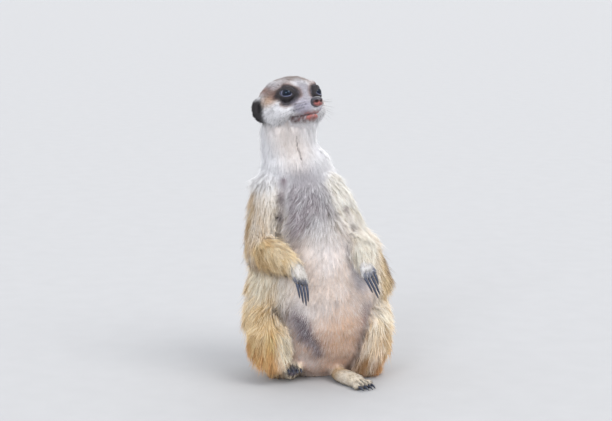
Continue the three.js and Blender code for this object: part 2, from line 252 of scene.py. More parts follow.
def spike_faces(points, rings, sides):
    """Triangles of closed spikes, one to a row of points: rings of as many corners as it has sides
    from the root on, then the tip."""
    one = [[0, k + 1, k] for k in range(1, sides - 1)]
    for ring in range(rings - 1):
        for k in range(sides):
            a, b = ring * sides + k, ring * sides + (k + 1) % sides
            one += [[a, b, b + sides], [a, b + sides, a + sides]]
    top = (rings - 1) * sides
    one += [[top + k, top + (k + 1) % sides, rings * sides] for k in range(sides)]
    one = outward(points[0] - points[0][0], np.array(one))
    return (np.arange(len(points))[:, None, None] * points.shape[1] + one).reshape(-1, 3)


def spread(values, edges, rounds, share=0.5):
    """Each point's value moves by share towards its neighbours' mean, rounds times."""
    values = np.array(values, float)
    flat = values.reshape(len(values), -1)
    ends = np.concatenate([edges, edges[:, ::-1]])
    degree = np.maximum(np.bincount(ends[:, 0], minlength=len(flat)), 1)
    weight = np.broadcast_to(np.asarray(share, float).reshape(-1, 1), (len(flat), 1))
    for _ in range(rounds):
        near = np.stack(
            [np.bincount(ends[:, 0], column[ends[:, 1]], len(flat)) for column in flat.T], axis=1
        )
        flat = flat + weight * (near / degree[:, None] - flat)
    return flat.reshape(values.shape)


ATTRIBUTES = {"FLOAT_COLOR": ("color", 4), "FLOAT_VECTOR": ("vector", 3), "FLOAT": ("value", 1)}


def set_attribute(mesh, name, kind, values):
    """Stores one value for each point of the mesh under that name."""
    layer = mesh.attributes.get(name) or mesh.attributes.new(name, kind, "POINT")
    if kind == "FLOAT_COLOR":
        values = np.concatenate([values, np.ones((len(values), 1))], axis=1)
    layer.data.foreach_set(ATTRIBUTES[kind][0], np.ascontiguousarray(values, np.float32).ravel())


def get_attribute(mesh, name, kind):
    """Reads back what set_attribute stored."""
    field, width = ATTRIBUTES[kind]
    values = np.empty(len(mesh.vertices) * width, np.float32)
    mesh.attributes[name].data.foreach_get(field, values)
    values = values.reshape(-1, width).astype(float)
    return values[:, :3] if width > 1 else values[:, 0]


def finish_piece(obj, material, nodes=()):
    """Gives a piece its material and its body, and hides the CAD nodes that it stands for."""
    obj.data.materials.clear()
    obj.data.materials.append(material)
    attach(obj, BODY)
    if nodes:
        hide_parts(*nodes)
    return obj


# ---- user settings ----


def colour_setting(name, text, value):
    """A colour property with a name, a description and its default."""
    return FloatVectorProperty(
        name=name, description=text, subtype="COLOR", size=3, min=0, max=1, default=tuple(tone(*value))
    )


def length_setting(name, text, value):
    """A length property with a name, a description and its default in metres."""
    return FloatProperty(name=name, description=text, default=value, subtype="DISTANCE", unit="LENGTH")


class MeerkatColours(PropertyGroup):
    """Colours of the coat and of the bare places."""

    white: colour_setting("White", "Cheeks, neck and shoulders", (240, 238, 241))
    cream: colour_setting("Cream", "Upper arms, hands, feet and the front of the thighs", (242, 230, 215))
    straw: colour_setting("Straw", "Forearms and the upper thighs", (243, 217, 176))
    gold: colour_setting("Gold", "The thighs' lower locks and the flanks", (214, 168, 108))
    rust: colour_setting("Rust", "The lowest locks and the tail's upper side", (192, 124, 60))
    grizzle: colour_setting("Grizzle", "The back and the crown", (146, 128, 114))
    bars: colour_setting("Bars", "Dark bars across the lower back, and the tail's tip", (78, 60, 48))
    mask: colour_setting("Mask", "The dark patch round each eye, and the ears", (42, 35, 40))
    muzzle: colour_setting("Muzzle", "Short hair on the sides of the muzzle", (162, 156, 172))
    chest: colour_setting("Chest", "Thin grey hair over dark skin", (160, 154, 160))
    belly: colour_setting("Belly", "Nearly bare skin of the belly", (215, 196, 184))
    flush: colour_setting("Flush", "Warmer skin low on the belly", (200, 162, 138))
    plum: colour_setting("Plum", "Dark grey-purple skin where the coat is thin", (126, 106, 114))
    slate: colour_setting("Slate", "Pads of the feet", (84, 84, 92))
    lips: colour_setting("Lips", "Edges of the mouth", (122, 92, 92))
    pink: colour_setting("Pink", "Inside of the lower lip, and below the nostrils", (190, 116, 109))


class MeerkatCoat(PropertyGroup):
    """How the skin is laid and how thickly the coat grows."""

    voxel: length_setting("Skin mesh", "Distance between the points of the skin", 1.45 * MM)
    seam: length_setting("Seam closed", "How far each solid swells to close its seams", 0.45 * MM)
    rounds: IntProperty(name="Rounding", description="Rounds of smoothing of the skin", default=16, min=0)
    amount: FloatProperty(
        name="Amount", description="Share of the full number of tufts", default=1, min=0, max=1,
        subtype="FACTOR",
    )
    seed: IntProperty(name="Seed", description="Seed of every random choice", default=7)
    whiskers: BoolProperty(name="Whiskers", description="Grow the whiskers", default=True)


def colours():
    """The colour settings as arrays, by name."""
    group = bpy.context.scene.meerkat_colours
    return {name: np.array(getattr(group, name)) for name in MeerkatColours.__annotations__}


# ---- shader groups and materials ----


class Nodes:
    """Short hand for building a node tree: add() makes a node, sets it up and links its inputs."""

    def __init__(self, tree):
        self.tree = tree

    def add(self, kind, inputs=None, **settings):
        node = self.tree.nodes.new(kind)
        for name, value in settings.items():
            setattr(node, name, value)
        for name, value in (inputs or {}).items():
            socket = node.inputs[name]
            if isinstance(value, bpy.types.NodeSocket):
                self.tree.links.new(value, socket)
            else:
                socket.default_value = value
        return node

    def maths(self, operation, *values):
        """The output of a maths node over values that are numbers or sockets."""
        return self.add("ShaderNodeMath", dict(enumerate(values)), operation=operation).outputs[0]


def shader_group(name, inputs, outputs, build):
    """A node group with those sockets, given as (name, kind, default), filled in by build()."""
    if name in bpy.data.node_groups:
        return bpy.data.node_groups[name]
    tree = bpy.data.node_groups.new(name, "ShaderNodeTree")
    for label, kind, default in inputs:
        socket = tree.interface.new_socket(label, in_out="INPUT", socket_type=kind)
        socket.default_value = default
    for label, kind in outputs:
        tree.interface.new_socket(label, in_out="OUTPUT", socket_type=kind)
    nodes = Nodes(tree)
    source = tree.nodes.new("NodeGroupInput")
    sink = tree.nodes.new("NodeGroupOutput")
    for label, socket in build(nodes, source.outputs).items():
        tree.links.new(socket, sink.inputs[label])
    return tree


def mottle_group():
    """Takes a colour and makes it lighter and darker by two sizes of noise in Object coordinates."""

    def build(nodes, given):
        place = nodes.add("ShaderNodeTexCoord").outputs["Object"]
        wide, fine = (
            nodes.add("ShaderNodeTexNoise", {"Vector": place, "Scale": given[size], "Detail": detail})
            for size, detail in (("Wide", 3.0), ("Fine", 2.0))
        )
        both = nodes.maths("ADD", wide.outputs["Fac"], fine.outputs["Fac"])
        share = nodes.maths("MULTIPLY_ADD", nodes.maths("SUBTRACT", both, 1.0), given["Amount"], 1.0)
        tinted = nodes.add(
            "ShaderNodeVectorMath", {0: given["Colour"], "Scale": share}, operation="SCALE"
        )
        return {"Colour": tinted.outputs[0]}

    inputs = [
        ("Colour", "NodeSocketColor", (1, 1, 1, 1)),
        ("Wide", "NodeSocketFloat", 60.0),
        ("Fine", "NodeSocketFloat", 900.0),
        ("Amount", "NodeSocketFloat", 0.3),
    ]
    return shader_group("mottle", inputs, [("Colour", "NodeSocketColor")], build)


def pores_group():
    """A height from small round cells and finer noise, for bare skin, pads and the nose."""

    def build(nodes, given):
        place = nodes.add("ShaderNodeTexCoord").outputs["Object"]
        cells = nodes.add("ShaderNodeTexVoronoi", {"Vector": place, "Scale": given["Cells"]})
        grain = nodes.add("ShaderNodeTexNoise", {"Vector": place, "Scale": given["Grain"], "Detail": 3.0})
        return {"Height": nodes.maths("MULTIPLY_ADD", grain.outputs["Fac"], 0.6, cells.outputs["Distance"])}

    inputs = [("Cells", "NodeSocketFloat", 900.0), ("Grain", "NodeSocketFloat", 2500.0)]
    return shader_group("pores", inputs, [("Height", "NodeSocketFloat")], build)


def new_material(name, **constants):
    """A material with a Principled shader, its constants on its own sockets, and its node tools."""
    material = bpy.data.materials.new(name)
    material.use_nodes = True
    shader = material.node_tree.nodes["Principled BSDF"]
    for label, value in constants.items():
        shader.inputs[label.replace("_", " ")].default_value = value
    return material, Nodes(material.node_tree), shader


def painted_material(name, attribute, wide, fine, amount, bump=0.0, cells=900.0, grain=2500.0, **constants):
    """Colour from a point attribute through the mottle group, and a bump from the pores group."""
    material, nodes, shader = new_material(name, **constants)
    colour = nodes.add("ShaderNodeAttribute", attribute_name=attribute)
    mottle = nodes.add("ShaderNodeGroup", node_tree=mottle_group())
    nodes.tree.links.new(colour.outputs["Color"], mottle.inputs["Colour"])
    for label, value in (("Wide", wide), ("Fine", fine), ("Amount", amount)):
        mottle.inputs[label].default_value = value
    nodes.tree.links.new(mottle.outputs["Colour"], shader.inputs["Base Color"])
    if bump:
        pores = nodes.add("ShaderNodeGroup", node_tree=pores_group())
        pores.inputs["Cells"].default_value = cells
        pores.inputs["Grain"].default_value = grain
        relief = nodes.add(
            "ShaderNodeBump", {"Height": pores.outputs["Height"], "Strength": 0.6, "Distance": bump}
        )
        nodes.tree.links.new(relief.outputs["Normal"], shader.inputs["Normal"])
    return material


def two_tone_material(name, scale, dark, pale, roughness):
    """A material whose colour wanders between two tones with noise in Object coordinates."""
    material, nodes, shader = new_material(name, Roughness=roughness)
    place = nodes.add("ShaderNodeTexCoord")
    noise = nodes.add("ShaderNodeTexNoise", {"Vector": place.outputs["Object"], "Scale": scale})
    ramp = nodes.add("ShaderNodeValToRGB", {"Fac": noise.outputs["Fac"]})
    for element, value in zip(ramp.color_ramp.elements, (dark, pale)):
        element.color = (*tone(*value), 1)
    nodes.tree.links.new(ramp.outputs["Color"], shader.inputs["Base Color"])
    return material


# ---- the skin ----


def swollen_flesh(swell):
    """All that the skin covers in one mesh, each node grown along its normals, and each point's
    node number."""
    points, faces, owner = [], [], []
    count = 0
    for number, name in enumerate(COVERED):
        own_points, own_faces = merged_node(name)
        points.append(own_points + swell * corner_normals(own_points, own_faces))
        faces.append(own_faces + count)
        owner.append(np.full(len(own_points), number))
        count += len(own_points)
    return np.concatenate(points), np.concatenate(faces), np.concatenate(owner)


def with_modifier(obj, kind, **settings):
    """The object's mesh with one modifier applied."""
    modifier = obj.modifiers.new(kind.lower(), kind)
    for name, value in settings.items():
        setattr(modifier, name, value)
    graph = bpy.context.evaluated_depsgraph_get()
    graph.update()
    mesh = bpy.data.meshes.new_from_object(obj.evaluated_get(graph))
    obj.modifiers.clear()
    return mesh


def split_finer(mesh, centre, radius):
    """Halves every edge of the mesh whose ends are both within radius of centre."""
    work = bmesh.new()
    work.from_mesh(mesh)
    work.verts.ensure_lookup_table()
    points = np.array([v.co for v in work.verts])
    near = np.linalg.norm(points - centre, axis=1) < radius
    edges = [e for e in work.edges if near[e.verts[0].index] and near[e.verts[1].index]]
    bmesh.ops.subdivide_edges(work, edges=edges, cuts=1, use_grid_fill=True)
    work.to_mesh(mesh)
    work.free()


def fused_flesh(settings):
    """One closed mesh over all the flesh, finer on the face, eyes, mouth, hands and feet, and each
    point's node number."""
    points, faces, owner = swollen_flesh(settings.seam)
    source = make_mesh("flesh", points, faces)
    code = np.zeros((len(points), 3))
    code[:, 0] = owner / len(COVERED)
    set_attribute(source.data, "owner", "FLOAT_COLOR", code)
    source.data.attributes.active_color_name = "owner"
    body = bpy.data.objects.new("body", with_modifier(
        source, "REMESH", mode="VOXEL", voxel_size=settings.voxel, adaptivity=0
    ))
    bpy.context.scene.collection.objects.link(body)
    paws = [name for name in BONES if name.startswith(("hand", "foot"))]
    finer = [(from_head((24, 0, -4)), 34)]  # place, radius in mm
    finer += [(from_head(eye_middle(side)), 9.5) for side in SIDES.values()]
    finer += [(from_head((40, 0, -12)), 11)]
    finer += [(np.array(BONES[paw][1]) * MM, 13) for paw in paws]
    for centre, radius in finer:
        split_finer(body.data, centre, radius * MM)
    work = bmesh.new()
    work.from_mesh(body.data)
    bmesh.ops.triangulate(work, faces=work.faces)
    work.to_mesh(body.data)
    work.free()
    set_attribute(body.data, "owner", "FLOAT_COLOR", np.zeros((len(body.data.vertices), 3)))
    told = with_modifier(
        body, "DATA_TRANSFER", object=source, use_vert_data=True,
        data_types_verts={"COLOR_VERTEX"}, vert_mapping="POLYINTERP_NEAREST",
    )
    owner = np.round(get_attribute(told, "owner", "FLOAT_COLOR")[:, 0] * len(COVERED)).astype(int)
    arrays = read_mesh(told)
    for obj in (source, body):
        bpy.data.objects.remove(obj)
    return (*arrays, owner)


def by_part(owner, table, default):
    """One number for each point, from a table of name beginnings; the first that fits holds."""
    names = [name.replace("eye_", "head_") for name in COVERED]
    per_node = [
        next((value for start, value in table.items() if name.startswith(start)), default)
        for name in names
    ]
    return np.array(per_node, float)[owner]


def on(owner, *starts):
    """1 at the points of the nodes whose names begin so, 0 elsewhere."""
    return by_part(owner, dict.fromkeys(starts, 1), 0)


EYE_WIDE = math.radians(66)
EYE_TALL = (math.radians(28), math.radians(30))


def eye_height(high):
    """How tall the eye's opening is, as an angle, above its slit where high is true and below it
    elsewhere."""
    return np.where(high, *EYE_TALL)


def almond(local, side):
    """How far a head point lies outside the eye's opening, and its offset from the eyeball.

    The opening is an almond on the ball: with a the angle along the slit and b the angle across
    it, the edge is at |b| = tall * (1 - (a / wide)^2)^0.8, so the value returned is
    |b| - edge, in radians, below 0 inside the opening."""
    gaze, slit, rise = eye_axes(side)
    offset = local - eye_middle(side)
    along, across, out = offset @ slit, offset @ rise, offset @ gaze
    a = np.arctan2(along, out)
    b = np.arctan2(across, np.hypot(out, along) * np.sign(out + 1e-6))
    edge = eye_height(b > 0) * np.maximum(1 - (a / EYE_WIDE) ** 2, 0) ** 0.8
    beyond = np.maximum(np.abs(a) - EYE_WIDE, 0)
    gap = np.where(beyond > 0, np.hypot(beyond, b), np.abs(b) - edge)
    return np.where(out < 0, 2.0, gap), offset


def eye_axes(side):
    """The eye's gaze, its slit's direction towards the nose, and its upward direction."""
    gaze = unit(np.array([0.68, side * 0.72, 0.12]))
    rise = unit(np.array([0, -side * 0.1, 1]) - gaze * gaze[2])
    slit = unit(np.cross(rise, gaze)) * side
    slit = unit(slit * -1 if slit[0] < 0 else slit)
    lean = math.radians(-8)
    cos, sin = math.cos(lean), math.sin(lean)
    return gaze, slit * cos + rise * sin, rise * cos - slit * sin


def shape_lids(local):
    """Wraps the skin round each eyeball: behind the ball inside the opening, and at the ball's
    surface plus a lid's thickness round it, easing back to the head away from the eye."""
    for side in SIDES.values():
        gap, offset = almond(local, side)
        reach = np.linalg.norm(offset, axis=1)
        near = 1 - ease(reach, EYE_RADIUS * 1.02, EYE_RADIUS * 1.9)
        fold = 0.3 * bell(gap - 0.3, 0.07) * (offset[:, 2] > 0)
        lid = EYE_RADIUS + 0.55 + 0.35 * ease(gap, 0.0, 0.25) - fold
        wanted = np.where(gap < 0, EYE_RADIUS - 1.3, lid)
        weight = near * (1 - ease(gap, 0.7, 1.3))
        weight = np.where(gap < 0, reach < EYE_RADIUS * 1.6, weight)
        moved = unit(offset) * (reach + weight * (wanted - reach))[:, None]
        local = local + (moved - offset)
    return local


MOUTH_CORNER = (13.5, -14.0)  # ahead, up
MOUTH_FRONT = (42, -14.6)


def mouth_gap(local):
    """How far a head point is above the line where the lips meet, and how far along it."""
    along = (local[:, 0] - MOUTH_CORNER[0]) / (MOUTH_FRONT[0] - MOUTH_CORNER[0])
    level = MOUTH_CORNER[1] + (MOUTH_FRONT[1] - MOUTH_CORNER[1]) * along
    dip = 0.6 * np.sin(np.clip(along, 0, 1) * math.pi)
    beside = ease(np.abs(local[:, 1]), 9.5, 14)
    return local[:, 2] - (level - dip), along - 0.9 * beside


FACE_FORMS = (  # height, and place (ahead, out, up) and half-size, in mm
    (0.8, (35, 6.5, -9.5), (8, 5, 4)),  # the pad that the whiskers grow from
    (0.5, (17, 10, 11.5), (10, 5, 3)),  # the edge over the eye
    (-0.6, (29, 8, 1.5), (6, 3, 4)),  # the hollow behind the nose
)


def shape_face(local, normals):
    """Adds the face's small forms: the mouth's groove between two lips, and the forms of
    FACE_FORMS on both sides."""
    height, along = mouth_gap(local)
    open_part = ease(along, -0.06, 0.1) * (local[:, 0] > 0)
    push = (0.25 * bell(np.abs(height) - 1.4, 0.8) - 1.5 * bell(height, 0.6)) * open_part
    for side in SIDES.values():
        for high, place, half in FACE_FORMS:
            push = push + high * blob(local * (1, side, 1), place, half, 0.9)
    return local + push[:, None] * (normals @ HEAD_AXES.T)


PAWS = ("foot_left", "foot_right", "hand_left", "hand_right")


def digits(paw):
    """The roots of a paw's claws in mm, each at its claw's end nearer to the wrist or ankle; the
    direction back along the paw; and 1 for the two directions in which its digits are told apart
    and 0 for the third: hands hang and are told apart from the front, feet from above."""
    roots = []
    for number in (1, 2, 3, 4):
        points, _ = merged_node(f"claw_{paw}_{number}")
        reach = np.linalg.norm(points - np.array(BONES[paw][0]) * MM, axis=1)
        roots.append(points[reach <= np.quantile(reach, 0.25)].mean(0) / MM)
    start, end = np.array(BONES[paw], float)
    return roots, unit(start - end), np.array([1, 0, 1] if paw.startswith("hand") else [1, 1, 0])


def between_digits(paw, at, width, soft):
    """For each two neighbouring digits of a paw, the middle between their claws' roots, and 1 along
    the line through it, from just ahead of the roots back along the paw."""
    roots, back, flat = digits(paw)
    for one, two in zip(roots, roots[1:]):
        middle = (one + two) / 2
        yield middle, stroke(at * flat, (middle - 4 * back) * flat, (middle + 7 * back) * flat, width, soft)


def shape_toes(points, normals, owner):
    """Presses a groove between neighbouring toes and fingers, and swells each toe a little round
    its claw's root."""
    at = points / MM
    push = np.zeros(len(points))
    for paw in PAWS:
        roots, back, _ = digits(paw)
        mine = on(owner, paw)
        for root in roots:
            push += 0.5 * mine * blob(at, root + 1.5 * back, [3.2] * 3, 0.6)
        for middle, groove in between_digits(paw, at, 0.9, 0.7):
            push -= 1.9 * mine * groove * blob(at, middle, [10] * 3, 0.3)
    return points + normals * push[:, None] * MM


COAT_DEPTH = {  # from the solid's surface, at the tips of the coat, down to the skin
    "thigh": 3.8, "shank": 2.6, "trunk": 3.0, "neck": 1.7, "upper_arm": 2.0, "forearm": 1.9,
    "tail_3": 1.4, "tail": 2.0, "head": 1.0, "jaw": 0.7, "ear": 0.5, "hand": 0.6, "foot": 0.7,
}
SOFTNESS = {"hand": 0.12, "foot": 0.2, "ear": 0.16, "jaw": 0.3, "head": 0.45, "tail_3": 0.4, "tail": 0.6}


def front_of_body(points, normals):
    """1 over the nearly bare belly and the lower chest, 0 elsewhere on the trunk."""
    low = blob(points / MM, (3, -42, 50), (40, 44, 66), 0.22)
    high = blob(points / MM, (-10, -34, 124), (30, 30, 46), 0.35)
    return np.maximum(low, high) * ease(-normals[:, 1], -0.05, 0.4)


LOWEST_SKIN = 0.25 * MM  # above the floor
UNSHRINK = -1.04  # each round's second step, outward again so that the smoothing doesn't shrink


def skin_shape(settings):
    """The fused flesh, rounded, drawn in by the coat's depth, with the face's forms added."""
    points, edges, faces, owner = fused_flesh(settings)
    share = spread(by_part(owner, SOFTNESS, 0.5), edges, 6)
    for _ in range(settings.rounds):
        points = spread(points, edges, 1, share)
        points = spread(points, edges, 1, UNSHRINK * share)
    normals = corner_normals(points, faces)
    depth = by_part(owner, COAT_DEPTH, 3.0)
    depth *= 1 - 0.75 * front_of_body(points, normals) * on(owner, "trunk")
    local = to_head(points)
    depth *= 1 - 0.45 * blob(local, (26, 0, -2), (22, 22, 18), 0.3) * on(owner, "head")
    depth *= 1 - 0.6 * ease(local[:, 2], 8, 15) * on(owner, "head")
    depth = spread(depth, edges, 14) * MM
    depth = np.minimum(depth, np.maximum(points[:, 2] + 0.2 * MM, 0) * 0.5 + LOWEST_SKIN)
    points = points - normals * (depth[:, None] + settings.seam)
    points = spread(points, edges, 2, share)
    points = shape_toes(points, corner_normals(points, faces), owner)
    points[:, 2] = np.maximum(points[:, 2], LOWEST_SKIN)
    shaped = shape_lids(shape_face(to_head(points), corner_normals(points, faces)))
    on_head = on(owner, "head", "jaw") > 0
    return np.where(on_head[:, None], from_head(shaped), points), edges, faces, owner


# ---- the lie of the coat, its markings and its painted light and shade, for every point of the skin ----


def tail_direction():
    """For each part of the tail, the direction from the part before it to the part after it."""
    middles = [np.mean([np.array(v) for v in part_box(f"tail_{k}")], axis=0) for k in (1, 2, 3)]
    ends = {"tail_1": (0, 1), "tail_2": (0, 2), "tail_3": (1, 2)}
    return {name: unit(middles[end] - middles[start]) for name, (start, end) in ends.items()}


def coat_lie(points, normals, edges, owner):
    """The direction in which the coat lies: down the neck and trunk, back over the head from the
    nose, along each limb to its toes and along the tail to its tip, evened out over the skin."""
    lie = np.tile(np.array([0.0, 0.0, -1.0]), (len(points), 1))
    out, up = to_head(points)[:, 1:].T
    turns = {name: unit(np.array(end, float) - np.array(start)) for name, (start, end) in BONES.items()}
    turns.update(tail_direction())
    for number, name in enumerate(COVERED):
        if name in turns:
            lie[owner == number] = turns[name]
    lie[:, 2] -= 0.9 * on(owner, "forearm")
    aside = (points[:, 0] / MM - 3) / 40
    lie[:, 0] += 0.9 * np.clip(aside, -1, 1) * front_of_body(points, normals) * on(owner, "trunk")
    lie[:, 0] += 0.35 * np.sign(points[:, 0]) * on(owner, "thigh") * (normals[:, 1] < 0.3)
    ones = np.ones(len(points))
    back = (-ones, 0.25 * np.sign(out) * ease(np.abs(out), 2, 12), -0.55 * ease(-up, -6, 14))
    sideways = (-0.2 * ones, np.sign(out), -0.5 * ones)
    for parts, way in ((("head", "jaw"), back), (("ear",), sideways)):
        mine = on(owner, *parts) > 0
        lie[mine] = unit(np.stack(way, axis=1))[mine] @ HEAD_AXES
    swirl = ripple(points / MM, 22, 3)[:, None] * np.cross(normals, lie)
    lie = unit(lie + 0.15 * swirl)
    for _ in range(12):
        lie = spread(lie, edges, 2)
        lie = unit(lie - normals * (lie * normals).sum(1, keepdims=True))
    return lie


def face_marks_and_shade(paint, local, c):
    """The face: white cheeks, a grizzled crown and brow, the crown darker on top partly as painted
    shade, the dark patch round each eye with a brown edge, a red-brown streak behind it with tan
    beneath, a grey muzzle with rows of soft dark spots, and mottled lips."""
    ahead, out, up = local[:, 0], np.abs(local[:, 1]), local[:, 2]
    folded = np.stack([ahead, out, up], axis=1)
    fine = 0.5 + 0.5 * ripple(local * (0.25, 1, 0.6), 2.0, 15)
    paint(tone(176, 168, 172), (0.75 + 0.25 * fine) * ease(up, 7, 12) * below(ahead, 24, 10))
    # the crown darker on top: partly its own grizzle, partly painted shade against the light from above
    crown = ease(up + 0.12 * (ahead - 12) - 0.12 * out, 13.8, 16.0) * below(ahead, 30, 10)
    paint(c["grizzle"] * (0.46, 0.42, 0.38), (0.45 + 0.5 * fine) * crown)
    paint(tone(136, 114, 106), 0.6 * (0.5 + 0.5 * fine) * blob(folded, (18, 11.5, 13.6), (8, 6, 3.2), 0.8))
    paint(c["grizzle"], 0.7 * below(ahead, -2, 16) * ease(up, -8, 6))
    paint(tone(190, 152, 126), 0.85 * blob(folded, (7, 23, 1.5), (9, 6, 5), 0.7))
    brown = tone(112, 82, 72)
    for start, end, shade, strength in (((12, 20.5, 6), (0, 20.5, 8.64), 1.0, 0.95),
                                        ((0, 20.5, 8.64), (-12, 20.5, 11.28), 1.5, 0.6)):
        paint(brown * shade, strength * (0.7 + 0.3 * fine) * stroke(folded, start, end, 4.2, 0.8))
    paint(tone(154, 150, 158), 0.95 * blob(folded, (28, 0, 4), (19, 7, 12), 0.45))
    ragged = folded + 0.6 * ripple(local, 2.4, 27)[:, None]
    for size, value, strength in ((1.13, brown, 0.8), (0.95, c["mask"], 0.97)):
        patch = blob(ragged, (20.4, 13.2, 2.9), size * np.array([11.6, 10.8, 8.7]), 0.16)
        cheek = blob(ragged, (12, 20.5, -7), (2 - size) * np.array([7.5, 7.5, 8.5]), 0.22)
        paint(value, strength * patch * (1 - cheek))
    paint(c["mask"] * 0.62, 0.85 * blob(ragged, (20.8, 13.2, 3.2), (9.4, 9, 7), 0.35))
    flecks = ease(ripple(local, 1.5, 61), 0.25, 1.0)
    paint(tone(104, 102, 118), 0.4 * flecks * blob(folded, (24, 12, 2), (9, 8, 8), 0.4))
    paint(c["muzzle"], 0.9 * blob(folded, (35, 8, -8), (12, 7, 8), 0.5))
    random = np.random.default_rng(5)
    for row, level in enumerate((-4.4, -6.6, -8.8)):
        for column in range(5):
            place = 38 - 2.8 * column - 0.9 * row + random.uniform(-0.5, 0.5)
            middle = (place, level - 0.25 * column + random.uniform(-0.35, 0.35))
            spot = blob(folded[:, [0, 2]], middle, (0.95, 0.7), 0.9)
            paint(c["slate"] * 0.7, random.uniform(0.5, 0.9) * spot * ease(out, 2, 4))
    height, along = mouth_gap(local)
    broken = ripple(local, 1.3, 21)
    band = bell(height + 1.5, 3.7, 4) * ease(along, -0.14, 0.1)
    paint(c["lips"] * 0.6, 0.97 * either(band * (0.9 + 0.25 * broken)))
    paint(c["pink"] * 0.75, 0.5 * band * ease(broken, 0.3, 0.9) * ease(along, 0.25, 0.5))
    front = ease(along, 0.58, 0.76) * bell(height + 1.3, 2.8)
    paint(c["pink"], 0.85 * front * (0.75 + 0.4 * broken))
    paint(c["lips"] * 0.3, 0.8 * bell(height, 0.4) * ease(along, -0.02, 0.1))


def toe_gaps(at):
    """1 along the lines between neighbouring fingers and toes."""
    gaps = np.zeros(len(at))
    for paw in PAWS:
        near = blob(at, BONES[paw][1], [16] * 3, 0.2)
        for _, line in between_digits(paw, at, 1.1, 0.5):
            gaps = np.maximum(gaps, line * near)
    return gaps


def throat_parting(at, width, soft):
    """1 along the thin wavy parting down the throat, seen from the front."""
    x, y, z = at.T
    wavy = np.stack([x + 0.5 * np.sin(z / 3.4), z], axis=1)
    return stroke(wavy, (-22, 203), (-18.6, 184), width, soft) * (y < -8)


DARK_SLOTS = (  # dark skin between the chest and the arms, as in SKIN_MARKS
    ((-34, -18, 168), (-35.6, -19, 157), 3.8, 0.85, 0.75),
    ((-36, -20, 152), (-36.5, -20.5, 136), 4.2, 0.95, 0.38),
    ((16.5, -26.5, 146), (22, -29, 130), 4.0, 0.95, 0.5),
)
SKIN_MARKS = (  # start, end and half-width in mm, strength, and the plum colour's share
    *DARK_SLOTS,
    ((-2, -22, 166), (4, -20, 160), 3.0, 0.3, 1.0),
    ((-21, -32, 140), (-27, -34, 120), 7.0, 0.85, 0.8),
    ((-14, -27, 153), (0, -27, 143), 6.5, 0.4, 0.9),
    ((-33, -38, 61), (-24, -42, 50), 8.5, 0.9, 0.72),
    ((-23, -42, 50), (-12, -40, 30), 7.5, 0.95, 0.68),
    ((-27, -42, 55), (-17, -43, 43), 4.2, 0.9, 0.42),
    ((-13, -41, 38), (-8, -38, 28), 4.0, 0.9, 0.5),
    ((31, -42, 64), (27, -42, 48), 5.5, 0.85, 0.85),
    ((27, -41, 46), (24, -38, 34), 4.0, 0.6, 0.85),
)


